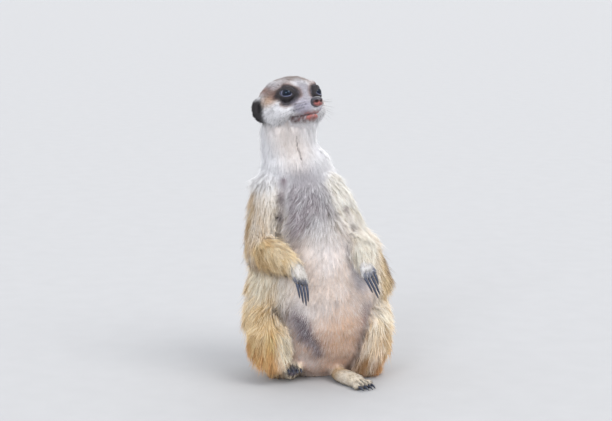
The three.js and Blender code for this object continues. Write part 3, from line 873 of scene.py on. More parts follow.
def markings(points, normals, edges, owner):
    """The colour of the coat, and of the skin under it, at every point, with painted light and shade in some
    places.
    """
    c = colours()
    at = points / MM
    x, y, z = at.T
    base = {
        "head": c["white"], "jaw": c["white"], "ear": c["mask"] * 0.7, "neck": c["white"] * 1.17,
        "upper_arm": c["cream"], "forearm": c["straw"], "hand": c["cream"] * 0.8,
        "thigh": c["straw"], "shank": c["straw"], "foot": c["cream"] * 0.72, "tail": c["gold"],
        "trunk": c["cream"],
    }
    colour = np.stack([by_part(owner, {k: v[i] for k, v in base.items()}, 0.5) for i in range(3)], 1)
    colour = spread(colour, edges, 9)
    trunk, neck, thigh, shank, upper_arm, forearm, hand, foot = (
        spread(on(owner, name), edges, 6)
        for name in ("trunk", "neck", "thigh", "shank", "upper_arm", "forearm", "hand", "foot")
    )

    def paint(value, weight):
        colour[:] = colour + (value - colour) * np.clip(weight, 0, 1)[:, None]

    # the back, with its bars
    streak = 0.5 + 0.5 * ripple(at * (1, 1, 0.22), 3.0, 5)
    frayed = ripple(at * (1, 1, 0.45), 6, 71)
    wander = ripple(at * (1, 1, 0.3), 9, 11)
    behind = ease(normals[:, 1] + 0.16 * frayed, -0.15, 0.65) * ease(y + 3 * frayed, -10, 14)
    flank = trunk * ease(x + 2 * frayed, 44, 55) * ease(z, 58, 92) * below(z, 130, 32)
    paint(c["grizzle"], 0.85 * behind * either(trunk, neck))
    paint(c["gold"], 0.5 * behind * thigh)
    hip = behind * spread(on(owner, "trunk"), edges, 60)
    paint(c["grizzle"], 0.85 * hip * thigh * ease(z, 20, 60))
    bars = ease(np.sin((z + 2.2 * wander) * 2 * math.pi / 13), 0.15, 0.75)
    low_back = ease(y, 6, 26) * below(z, 135, 25) * ease(z, 30, 55)
    paint(c["bars"], 0.8 * bars * low_back * either(trunk, thigh))
    # thighs: straw with gold locks, rust towards the floor, cream on the inner side, and painted
    # light on the right knee and in the crease between the left thigh and the trunk
    legs = either(thigh, shank)
    shown = legs * (1 - 0.75 * behind)
    rusty = shown * (0.3 + 0.7 * streak)
    paint(c["gold"], shown * (0.25 + 0.65 * streak) * below(z, 84, 50))
    paint(c["rust"], rusty * below(z, 50, 34))
    paint(c["rust"], 0.75 * shown * (x > 0) * below(z, 34, 24) * below(y, 0, 26))
    paint(tone(214, 160, 104), 0.8 * rusty * ease(x, 48, 60) * below(z, 82, 30))
    inner = legs * ease(-normals[:, 1], 0.35, 0.8) * (1 - ease(np.abs(x - 2), 33, 50))
    paint(c["cream"], 0.55 * inner * ease(z, 12, 40))
    paint(c["cream"], 0.5 * inner * below(z, 45, 20))
    paint(tone(255, 228, 192), 0.8 * inner * (0.4 + 0.6 * streak) * (x > 0) * ease(z, 20, 40))
    paint(tone(252, 224, 182), 0.75 * inner * (x < 0) * below(z, 60, 20) * ease(z, 16, 34))
    # painted light: a brighter patch on the front of the right knee, where shade falls
    paint(tone(255, 240, 214), 0.9 * legs * blob(at, (-37, -38, 37), (7, 11, 18), 0.6))
    # painted light: a brighter patch in the crease between the left thigh and the trunk
    paint(tone(255, 242, 222), 0.9 * either(legs, trunk) * blob(at, (44, -38, 68), (9, 15, 16), 0.6))
    # sides of the body beside the belly, as straw as the thighs, with painted light under the right
    # forearm, and a browner flank, darker partly as painted shade
    beside = trunk * ease(np.abs(x - 1), 38, 47) * below(z, 124 + 4 * frayed, 30) * (1 - behind) ** 1.5
    paint(c["straw"], 0.95 * beside)
    paint(c["gold"], 0.5 * beside * streak)
    # painted light: a brighter patch under the right forearm, where its shadow falls
    paint(tone(254, 238, 212), 0.9 * either(trunk, thigh) * blob(at, (-52, -14, 89), (13, 17, 15), 0.5))
    # the far flank darker all over: partly its own darker fur, partly painted shade
    paint(c["bars"] * 2.2, 0.55 * flank)
    paint(c["bars"] * 1.4, 0.8 * flank * ease(np.sin((z + 1.5 * wander) * 2 * math.pi / 9), 0.0, 0.6))
    # shoulders and upper arms: white above, cream to straw below, browner outside, and painted
    # shade on the right upper arm
    arm = either(upper_arm, forearm)
    upper = either(upper_arm, 0.8 * trunk, neck)
    outer = arm * below(x, -45, 9)
    paint(c["white"] * 1.06, 0.95 * upper * ease(z, 138, 166) * (1 - behind) ** 2)
    # painted shade: the right upper arm a darker cream than the left
    paint(c["cream"] * 0.97, 0.6 * upper_arm * (x < -38) * below(z, 172, 16))
    browner = 0.3 + 0.7 * ease(streak, 0.2, 0.65)
    paint(tone(200, 168, 130), 0.9 * outer * browner * below(z, 170, 14) * ease(z, 112, 134))
    paint(c["gold"] * 0.95, 0.8 * outer * (0.3 + 0.7 * streak) * below(z, 134, 18))
    paint(c["gold"], 0.4 * arm * ease(-normals[:, 2], 0.0, 0.7) * (x < 0))
    paint(tone(252, 244, 232), 0.85 * arm * (x > 0))
    # chest and belly, with painted light low on the belly and, in part, on the upper belly
    front = ease(-normals[:, 1], -0.1, 0.4) * either(trunk, neck) * (1 - neck * ease(z, 176, 190))
    bare = front_of_body(points, normals) * trunk
    cloud = ripple(at * (1, 1, 0.6), 7, 33)
    paint(c["belly"], bare * below(z, 150, 35))
    paint(c["flush"], 0.8 * bare * below(z, 74, 50))
    # painted light: the lowest belly brighter, against the shade where it meets the floor
    paint(c["flush"] * 1.45, 0.75 * bare * below(z, 27, 14))
    paint(c["white"] * 0.95, 0.4 * bare * ease(cloud, 0.15, 0.9))
    paint(c["flush"] * (0.95, 0.85, 0.8), 0.4 * bare * ease(-cloud, 0.1, 0.9) * below(z, 100, 60))
    paint(c["chest"], 0.75 * front * blob(at, (-17, -24, 168), (19, 20, 18), 0.6))
    breast = front * blob(at, (-14, -28, 148), (23, 20, 20), 0.5)
    strands = ripple(at * (1, 1, 0.3), 2.6, 41)
    paint(c["chest"] * 0.9, 0.9 * breast)
    paint(c["plum"] * 0.8, 0.5 * breast * ease(strands, 0.1, 0.8))
    paint(c["white"] * 0.85, 0.35 * breast * ease(-strands, 0.3, 1.0))
    # the upper belly whiter: partly its paler hair, partly painted light
    paint(c["white"], 0.45 * trunk * blob(at, (-3, -40, 120), (17, 14, 17), 0.7))
    broken = 0.75 + 0.3 * ripple(at, 4, 8)
    body = either(trunk, upper_arm, neck * (z < 176), thigh * (z < 90))
    for start, end, width, strength, share in SKIN_MARKS:
        paint(c["plum"] * share, strength * broken * stroke(at, start, end, width, 0.75) * body)
    paint(tone(214, 168, 132), 0.65 * trunk * blob(at, (12, -46, 44), (16, 12, 20), 0.8))
    paint(tone(176, 174, 188), 0.55 * trunk * stroke(at, (21, -36, 116), (27, -41, 86), 7, 0.7))
    paint(c["plum"] * 0.5, 0.85 * blob(at, (4.2, -48, 71), (1.8, 6, 1.0), 0.6))
    # throat: warmer in the middle, with a thin dark parting
    paint(tone(242, 224, 212), 0.6 * neck * stroke(at, (-36, -18, 213), (-24, -20, 196), 14, 0.8))
    paint(c["lips"] * 0.45, 0.95 * neck * throat_parting(at, 0.8, 0.4))
    # tail: gold, dark at the tip
    paint(c["bars"] * 0.6, 0.95 * spread(on(owner, "tail_3"), edges, 24))
    # hands and feet: painted shade in the gaps between the toes, and slate at the claws
    heel = foot * (x > 0) * ease(y, -44, -30)
    paint(c["white"] * 0.8, 0.4 * hand * (x < 0))
    paint(c["white"], 0.7 * hand * (x > 0))
    paint(c["gold"] * 0.95, 0.75 * heel)
    paint(tone(236, 220, 196), 0.6 * foot * (x > 0) * (1 - heel))
    paint(tone(252, 232, 204), 0.9 * foot * (x < 0))
    # painted shade in the gaps between neighbouring toes
    paint(c["slate"] * 0.25, 0.95 * foot * toe_gaps(at))
    for paw in PAWS:
        roots, back, flat = digits(paw)
        for root in roots:
            if paw.startswith("hand"):
                finger = stroke(at * flat, root * flat, (root + 5 * back) * flat, 1.2, 0.5)
                paint(c["slate"] * (0.85, 1.0, 1.35), 0.85 * hand * finger)
            else:
                paint(c["slate"] * 0.8, 0.7 * foot * blob(at, root, [1.8] * 3, 0.6))
    # the right foot's pads, and the left foot's sole
    pads = sole_pads(at, (-29, 11), (5.4, 4.8), 0.3) * (x < 0)
    paint(c["slate"] * 0.85, 0.9 * foot * np.maximum(pads, ease(-normals[:, 2], 0.5, 0.9) * (x > 0)))
    paint(tone(134, 120, 132), 0.7 * foot * sole_pads(at, (-28.6, 8.5), (3.0, 2.4), 0.5))
    # ears: dark, with pale fur along the top of the rim
    local = to_head(points)
    ear = spread(on(owner, "ear"), edges, 2)
    paint(c["mask"] * 0.6, ear)
    paint(c["white"] * 0.75, 0.8 * ear * ease(local[:, 2], 1.5, 5))
    face = on(owner, "head", "jaw")
    face_marks_and_shade(lambda value, weight: paint(value, weight * face), local, c)
    return np.clip(colour, 0, 1)


def sole_pads(at, middle, half, soft):
    """1 on the right foot's sole within an ellipse (x, z), which the foot shows to the front."""
    return blob(at[:, [0, 2]], middle, half, soft) * (at[:, 1] < -22)


class MEERKAT_OT_skin(Operator):
    """Lay one seamless skin inside the solids of flesh, with its markings and the coat's lie"""

    bl_idname = "meerkat.skin"
    bl_label = "Skin"

    def execute(self, context):
        settings = context.scene.meerkat_coat
        points, edges, faces, owner = skin_shape(settings)
        skin = make_mesh(SKIN_NAME, points, faces)
        if len(skin.data.vertices) != len(points):
            raise RuntimeError("the skin lost points while it was made")
        normals = corner_normals(points, faces)
        mesh = skin.data
        set_attribute(mesh, "coat_colour", "FLOAT_COLOR", markings(points, normals, edges, owner))
        set_attribute(mesh, "coat_lie", "FLOAT_VECTOR", coat_lie(points, normals, edges, owner))
        set_attribute(mesh, "owner", "FLOAT", owner.astype(float))
        unwrap(skin)
        material = painted_material(
            "skin", "coat_colour", 70.0, 500.0, 0.3, bump=0.18 * MM, cells=420.0, grain=1300.0,
            Roughness=0.66, Sheen_Weight=0.1,
        )
        finish_piece(skin, material, FLESH)
        return {"FINISHED"}


def unwrap(obj):
    """Unwraps the object by the directions that its own faces point in."""
    for other in bpy.context.selected_objects:
        other.select_set(False)
    obj.data.uv_layers.new(name=COAT_UV)
    bpy.context.view_layer.objects.active = obj
    obj.select_set(True)
    bpy.ops.object.mode_set(mode="EDIT")
    bpy.ops.mesh.select_all(action="SELECT")
    bpy.ops.uv.smart_project(angle_limit=math.radians(80), island_margin=0.001)
    bpy.ops.object.mode_set(mode="OBJECT")
    obj.select_set(False)


# ---- eyes ----


def turned_surface(name, profile, around, axes, centre, colours_at):
    """A closed surface of revolution. profile holds (distance along the axis, radius) from the
    front pole to the back one; a point is centre + along * axis + radius * (cos t, sin t) in the
    plane of the other two axes. colours_at gives each ring's colour."""
    axis, first, second = axes
    inner = profile[1:-1]
    turn = np.linspace(0, 2 * math.pi, around, endpoint=False)
    ring = np.cos(turn)[:, None] * first + np.sin(turn)[:, None] * second
    grid = centre + inner[:, 0, None, None] * axis + inner[:, 1, None, None] * ring[None]
    poles = centre + profile[[0, -1], 0][:, None] * axis
    points = np.concatenate([grid.reshape(-1, 3), poles])
    obj = make_mesh(name, points, outward(points, ring_faces(len(inner), around)))
    per_point = np.concatenate([np.repeat(colours_at[1:-1], around, axis=0), colours_at[[0, -1]]])
    set_attribute(obj.data, "eye_colour", "FLOAT_COLOR", per_point)
    return obj


def lid_rim(name, side, count=72, around=8, thick=0.36):
    """The dark, moist edge of the lids: a tube along the almond on the ball, closed on itself, painted
    paler along the lower lid, most towards the nose, and half as pale at the outer corner, as a
    highlight.
    """
    gaze, slit, rise = eye_axes(side)
    t = np.linspace(0, 2 * math.pi, count, endpoint=False)
    cos, sin = np.cos(t), np.sin(t)
    a = EYE_WIDE * 1.01 * cos
    b = np.sign(sin) * eye_height(sin > 0) * np.maximum(1 - cos**2, 0) ** 0.8
    a, b = a[:, None], b[:, None]
    direction = np.cos(b) * (np.cos(a) * gaze + np.sin(a) * slit) + np.sin(b) * rise
    line = eye_middle(side) + direction * (EYE_RADIUS + 0.2)
    ahead = unit(np.roll(line, -1, axis=0) - np.roll(line, 1, axis=0))
    across = unit(np.cross(direction, ahead))
    s = np.linspace(0, 2 * math.pi, around, endpoint=False)[None, :, None]
    ring = np.cos(s) * direction[:, None] + np.sin(s) * across[:, None]
    points = from_head((line[:, None] + thick * ring).reshape(-1, 3))
    i, j = np.arange(count)[:, None] * around, np.arange(around)
    k, m = (i + around) % (count * around), (j + 1) % around
    faces = np.stack([i + j, k + j, k + m, i + m], -1).reshape(-1, 4)
    rim = make_mesh(name, points, outward(points, faces))
    dark, pale = tone(20, 17, 22), tone(98, 102, 132)
    # painted highlight: paler along the lower lid and at the corners, for light off the moist rim
    painted_glint = ease(-sin, 0.1, 0.8) * ease(cos, -1.2, 0.6) + 0.5 * ease(-cos, 0.5, 1.0)
    shade = dark + (pale - dark) * either(painted_glint)[:, None]
    set_attribute(rim.data, "rim_colour", "FLOAT_COLOR", np.repeat(shade, around, axis=0))
    return rim


class MEERKAT_OT_eyes(Operator):
    """Set each eyeball, with its cornea, iris and pupil, and the dark rim of its lids"""

    bl_idname = "meerkat.eyes"
    bl_label = "Eyes"

    def execute(self, context):
        ball = painted_material(
            "eye", "eye_colour", 300.0, 2200.0, 0.35, Roughness=0.05, Specular_IOR_Level=0.42,
            Specular_Tint=(0.5, 0.68, 1.0, 1.0),
        )
        rim = painted_material(
            "lid rim", "rim_colour", 500.0, 2600.0, 0.4, bump=0.05 * MM, Roughness=0.35, Coat_Weight=0.3
        )
        degrees = np.concatenate([np.linspace(0, 60, 41), np.linspace(66, 180, 20)])
        angle = np.radians(degrees)
        shade = np.tile(tone(20, 16, 24), (len(degrees), 1))  # the iris
        for value, share in (  # its edge, the pupil, the white
            (tone(6, 5, 9), ease(degrees, 32, 38)),
            (tone(3, 3, 6), below(degrees, 19, 2)),
            (tone(96, 96, 116), ease(degrees, 39.5, 42)),
        ):
            shade = shade + (value - shade) * share[:, None]
        cornea = 0.35 * np.clip(1 - (degrees / 42) ** 2, 0, 1)
        radius = (EYE_RADIUS - 0.05 + cornea) * MM
        profile = np.stack([radius * np.cos(angle), radius * np.sin(angle)], axis=1)
        profile[[0, -1], 1] = 0
        for name, side in SIDES.items():
            look = unit(np.array([0.83, side * 0.55, 0.1]))
            level = unit(np.cross(look, (0, 0, 1)))
            axes = [v @ HEAD_AXES for v in (look, level, np.cross(look, level))]
            eye = turned_surface(f"eyeball_{name}", profile, 48, axes, from_head(eye_middle(side)), shade)
            finish_piece(eye, ball, [f"eye_{name}"])
            finish_piece(lid_rim(f"lid_rim_{name}", side), rim)
        return {"FINISHED"}


# ---- nose ----

NOSE_MIDDLE = (44, 0.0, -5.9)
NOSE_HALF = np.array([5.0, 4.5, 4.0])


def nose_surface(columns=64, rows=40, power=0.78):
    """A superellipsoid of that power, with two nostrils pressed in as round dents that run out to
    a slit at each side, and a groove down the middle below them."""
    u = np.linspace(0, 2 * math.pi, columns, endpoint=False)
    v = np.linspace(-math.pi / 2, math.pi / 2, rows)[1:-1, None]

    def bend(w):
        return np.sign(w) * np.abs(w) ** power

    across = bend(np.cos(v)) * bend(np.sin(u))
    upward = bend(np.cos(v)) * bend(np.cos(u))
    grid = np.stack([bend(np.sin(v)) * np.ones_like(across), across, upward], -1) * NOSE_HALF
    pole = NOSE_HALF * (1, 0, 0)
    local = np.concatenate([grid.reshape(-1, 3), [-pole, pole]])
    direction = unit(local / NOSE_HALF**2)
    ahead, out, up = local[:, 0], np.abs(local[:, 1]), local[:, 2]
    folded = np.stack([ahead, out, up], 1)
    hole = blob(folded, (4.2, 2.2, -0.3), (2.4, 1.5, 1.25), 0.45)
    slit = stroke(folded, (3.6, 2.9, -0.6), (1.2, 4.6, -0.9), 0.7, 0.6)
    groove = bell(out, 0.45) * ease(-up, -0.3, 0.8) * ease(ahead, 0, 2)
    low = ease(-up, -1.4, 1.6) * ease(ahead, 0.4, 3.8)
    local = local - direction * (1.7 * hole + 0.7 * slit + 0.5 * groove)[:, None]
    points = from_head(local + NOSE_MIDDLE)
    dark, pink, deep = tone(54, 51, 60), tone(168, 92, 84), tone(46, 14, 12)
    colour = dark + (pink - dark) * (low * either(0.75 + 0.35 * ripple(local, 0.9, 31)))[:, None]
    # painted shade: the nostrils and their slits deep red-brown, for the darkness inside the openings
    colour = colour + (deep - colour) * either(hole * 1.5 + slit * 0.9)[:, None]
    return points, outward(points, ring_faces(rows - 2, columns)), colour


class MEERKAT_OT_nose(Operator):
    """Put the nose pad on the end of the muzzle, with its nostrils"""

    bl_idname = "meerkat.nose"
    bl_label = "Nose"

    def execute(self, context):
        points, faces, colour = nose_surface()
        nose = make_mesh("nose_pad", points, faces)
        set_attribute(nose.data, "nose_colour", "FLOAT_COLOR", colour)
        material = painted_material(
            "nose", "nose_colour", 500.0, 2600.0, 0.5, bump=0.12 * MM, cells=2200.0, grain=5000.0,
            Roughness=0.38, Coat_Weight=0.35, Coat_Roughness=0.25,
        )
        finish_piece(nose, material, ["nose"])
        return {"FINISHED"}


# ---- claws ----


class MEERKAT_OT_claws(Operator):
    """Round off the claws and give them horn that is slate at the root and darker at the tip"""

    bl_idname = "meerkat.claws"
    bl_label = "Claws"

    def execute(self, context):
        material = painted_material(
            "claw", "claw_colour", 400.0, 2600.0, 0.4, bump=0.05 * MM, cells=1500.0, grain=4000.0,
            Roughness=0.3, Coat_Weight=0.4, Coat_Roughness=0.15,
        )
        root, tip = tone(58, 64, 84), tone(26, 27, 36)
        for name in CLAWS:
            points, faces = merged_node(name)
            claw = make_mesh(f"{name}_horn", points, faces)
            smoother = claw.modifiers.new("round", "SUBSURF")
            smoother.levels = smoother.render_levels = 1
            z = points[:, 2]
            toward_tip = 1 - (z - z.min()) / max(np.ptp(z), 1e-9)
            shade = root + (tip - root) * (0.55 * ease(toward_tip, 0.45, 1.0))[:, None]
            if "foot" in name:
                shade = shade * 0.7
            set_attribute(claw.data, "claw_colour", "FLOAT_COLOR", shade)
            finish_piece(claw, material, [name])
        return {"FINISHED"}


# ---- the coat ----

# For each part: tufts to the square millimetre, length, width, how far a tuft stands from the
# skin in degrees, how far it gathers into locks (0 for none) and how much tufts differ in shade,
# lengths in mm.
GROWTH = {
    "head": (4.2, 3.0, 0.28, 15, 0.0, 1.5),
    "jaw": (4.4, 2.0, 0.22, 13, 0.0, 0.8),
    "ear": (3.6, 2.0, 0.26, 20, 0.0, 1.0),
    "neck": (2.35, 7.0, 0.34, 12, 0.08, 0.4),
    "upper_arm": (2.1, 11.0, 0.40, 16, 0.3, 1.1),
    "forearm": (2.2, 11.0, 0.38, 16, 0.25, 1.1),
    "hand": (3.3, 3.0, 0.26, 14, 0.0, 1.2),
    "thigh": (1.75, 16.0, 0.48, 15, 0.4, 1.35),
    "shank": (1.8, 12.0, 0.44, 15, 0.35, 1.35),
    "foot": (3.2, 2.8, 0.28, 13, 0.0, 1.2),
    "tail": (1.5, 7.5, 0.44, 14, 0.3, 1.0),
    "trunk": (1.28, 11.0, 0.46, 16, 0.35, 1.1),
}

COAT_PIECES = {  # piece: (beginnings of its nodes' names, how many pieces share it, slot)
    "coat_head": (("head", "jaw"), 2, "coat_pale"),
    "coat_ears": (("ear",), 1, "coat_dark"),
    "coat_neck": (("neck",), 1, "coat_pale"),
    "coat_arms": (("upper_arm", "forearm"), 1, "coat_pale"),
    "coat_hands_feet": (("hand", "foot"), 1, "coat_pale"),
    "coat_legs": (("thigh", "shank"), 2, "coat"),
    "coat_trunk": (("trunk",), 3, "coat"),
    "coat_tail": (("tail",), 1, "coat_dark"),
}


def locks(edges, count, share, random):
    """A lock number for each point: random seeds that spread to their neighbours until all have one."""
    seeds = random.random(count) < share
    number = np.where(seeds, np.arange(count), -1)
    ends = np.concatenate([edges, edges[:, ::-1]])
    for _ in range(60):
        if (number >= 0).all():
            break
        order = ends[random.permutation(len(ends))]
        ready = (number[order[:, 1]] >= 0) & (number[order[:, 0]] < 0)
        number[order[ready, 0]] = number[order[ready, 1]]
    return number


def growth_fields(points, normals, owner):
    """The coat's thickness, length, width, stand, gathering and contrast at every point of the skin."""
    fields = np.stack([by_part(owner, {k: v[i] for k, v in GROWTH.items()}, 1.0) for i in range(6)])
    thick, length, width, stand, gather, differ = fields
    at, local = points / MM, to_head(points)
    x, _, z = at.T
    ahead = ease(local[:, 0], 2, 30)
    trunk, head, neck, foot = (on(owner, name) for name in ("trunk", "head", "neck", "foot"))
    thigh, shank, forearm = (on(owner, name) for name in ("thigh", "shank", "forearm"))
    bare = front_of_body(points, normals) * trunk * below(z, 136, 24)
    for field, share in (
        (length, 0.45), (width, 0.45), (thick, 0.1), (stand, 0.45), (gather, 0.6), (differ, 0.35)
    ):
        field *= 1 - share * bare
    over_foot = blob(at, (-30, -18, 20), (18, 18, 16), 0.4) * (shank + thigh + trunk)
    over_slot = np.max([
        stroke(at, start, np.array(end) + (0, 0, 6), width_here * 1.9, 0.5)
        for start, end, width_here, _, _ in DARK_SLOTS
    ], axis=0)
    side_on = local * (1, 0, 1)
    cheek = head * blob(side_on, (-4, 0, -12), (20, 1, 13), 0.5)
    near_ear = head * blob(side_on, (-3, 0, -4), (11, 1, 13), 0.5) * ease(np.abs(local[:, 1]), 17, 22)
    shoulder = blob(at, (-50, 0, 176), (9, 18, 9), 0.6)
    beneath = forearm * ease(-normals[:, 2], -0.2, 0.5)
    outside = ease(np.abs(x), 52, 62) * (thigh + shank)
    for share, where in (
        (-0.55, over_foot), (-0.3, trunk * ease(z, 120, 160)), (-0.62, head * ahead), (0.9, cheek),
        (-0.72, over_slot), (-0.5, near_ear), (0.15, shoulder), (0.2, beneath), (-0.2, outside),
    ):
        length *= 1 + share * where
    width *= 1 - 0.3 * head * ahead
    stand *= 1 - 0.5 * over_slot
    stand += 13 * shoulder + 8 * beneath
    stand *= 1 - 0.3 * outside
    differ *= 1 + 1.5 * neck * ease(normals[:, 1], 0, 0.5)
    # none in the eyes, on the lips, on the sole or at the floor; few in the gaps between toes
    for side in SIDES.values():
        gap, offset = almond(local, side)
        thick *= 1 - head * (np.linalg.norm(offset, axis=1) < EYE_RADIUS * 1.6) * (gap < 0.2)
    height, along = mouth_gap(local)
    thick *= 1 - on(owner, "head", "jaw") * (np.abs(height + 0.3) < 1.5) * (along > 0.03)
    thick *= 1 - 0.8 * toe_gaps(at) * foot
    thick *= 1 - throat_parting(at, 1.1, 0.3) * neck
    thick *= 1 - np.round(foot * sole_pads(at, (-29, 10.5), (5.0, 4.8), 0.05))
    thick *= z > 0.8
    return thick, length * MM, width * MM, np.radians(stand), gather, differ


def pick_roots(points, faces, chosen, thick, amount, random):
    """Random places on the chosen triangles, as many to the area as thick says: the triangle and
    the weights of its three corners for each."""
    a, b, c = (points[faces[chosen][:, k]] for k in range(3))
    area = np.linalg.norm(np.cross(b - a, c - a), axis=1) / 2 / MM**2
    wanted = area * thick[faces[chosen]].mean(1) * amount
    total = np.cumsum(wanted)
    count = int(total[-1])
    triangle = chosen[np.searchsorted(total, random.uniform(0, total[-1], count))]
    first, second = random.random(count), random.random(count)
    fold = first + second > 1
    first, second = np.where(fold, 1 - first, first), np.where(fold, 1 - second, second)
    return triangle, np.stack([1 - first - second, first, second], axis=1)


RING_AT = (0.0, 0.42)  # places of a tuft's rings along it, and their share of its width
RING_WIDTH = (1.0, 0.8)


def tuft_arrays(root, normal, lie, length, width, stand, pull, colour, dark, random):
    """Closed three-sided spikes, one for each root. The middle line is
    root + length * (t * start + t^2 / 2 * (end - start)) + t^2 * pull, where start and end are
    the lie turned up from the skin by stand and by a third of it. Rings of three corners stand
    at RING_AT along it, and the tip closes it. The root's colour is dark times the tuft's: partly
    the hair's own darker base, partly painted shade deep in the coat."""
    side = unit(np.cross(lie, normal))
    start, end = (
        np.cos(stand * share)[:, None] * lie + np.sin(stand * share)[:, None] * normal for share in (1, 0.35)
    )

    def line(t):
        return root + length[:, None] * (t * start + t * t / 2 * (end - start)) + t * t * pull

    points, bent, shade = [], [], []
    lift = unit(np.cross(side, start))
    lift = lift * np.sign((lift * normal).sum(1, keepdims=True))
    for place, wide in zip(RING_AT, RING_WIDTH):
        middle = line(place) - (0.35 * MM * normal if place == 0 else 0)
        half = (width * wide / 2)[:, None]
        for across, up in ((-1.0, 0.0), (0.0, 0.9), (1.0, 0.0)):
            points.append(middle + half * (across * side + up * lift))
            bent.append(unit(0.7 * normal + 0.3 * lift * (0.4 + up) + 0.38 * across * side))
            shade.append(colour * (dark + (1 - dark) * place / RING_AT[-1])[:, None])
    points.append(line(1.0))
    bent.append(unit(0.75 * normal + 0.25 * lift))
    tip = 1.06 + 0.1 * random.random(len(root))
    shade.append(np.clip(colour * tip[:, None], 0, 1))
    points = np.stack(points, 1)
    flat = (v.reshape(-1, 3) for v in (points, np.stack(bent, 1), np.stack(shade, 1)))
    return *flat, spike_faces(points, len(RING_AT), 3)


PATCH = 0.003


def tuft_patches(root_uv):
    """UV for every corner of every tuft: a patch PATCH wide at the root's place, across by the
    corner's place in its ring and up by its ring."""
    across = np.array([0, 0.5, 1] * len(RING_AT) + [0.5])
    along = np.array([*np.repeat(RING_AT, 3), 1.0])
    patch = np.stack([across - 0.5, along - 0.5], axis=1) * PATCH
    return np.clip(root_uv[:, None] + patch[None], 0, 1).reshape(-1, 2)


LOCK_SHARE = 0.10  # share of the skin's points that start a lock
STRAY_SHARE = 0.04  # share of the tufts that stick out from the rest
CREASE_DEPTH = (0.12 * MM, 0.9 * MM)  # a hollow of the skin where the coat starts to stand up, a full one
CREASE_STAND = math.radians(50)
LONGEST_PULL = 3.5 * MM  # the farthest that a tip is drawn towards its lock
LOWEST_TUFT = 0.15 * MM  # above the floor


def strand_colour(tint, light):
    """The tints of tufts that are that much lighter or darker than the rest. Below 1 a tint darkens
    as tint * light^power, with a smaller power for red and a larger one for blue where it is warm.
    Above 1 it takes the darker of 1 - (1 - tint) / light and tint * light."""
    warm = np.clip((tint[:, 0] - tint[:, 2]) / np.maximum(tint[:, 0], 0.01), 0, 1)
    light = light[:, None]
    power = np.stack([1 - 0.5 * warm, np.ones(len(warm)), 1 + 0.9 * warm], axis=1)
    shaded = tint * np.minimum(light, 1) ** power
    paler = 1 - (1 - shaded) / np.maximum(light, 1)
    return np.clip(np.minimum(paler, shaded * np.maximum(light, 1)), 0, 1)


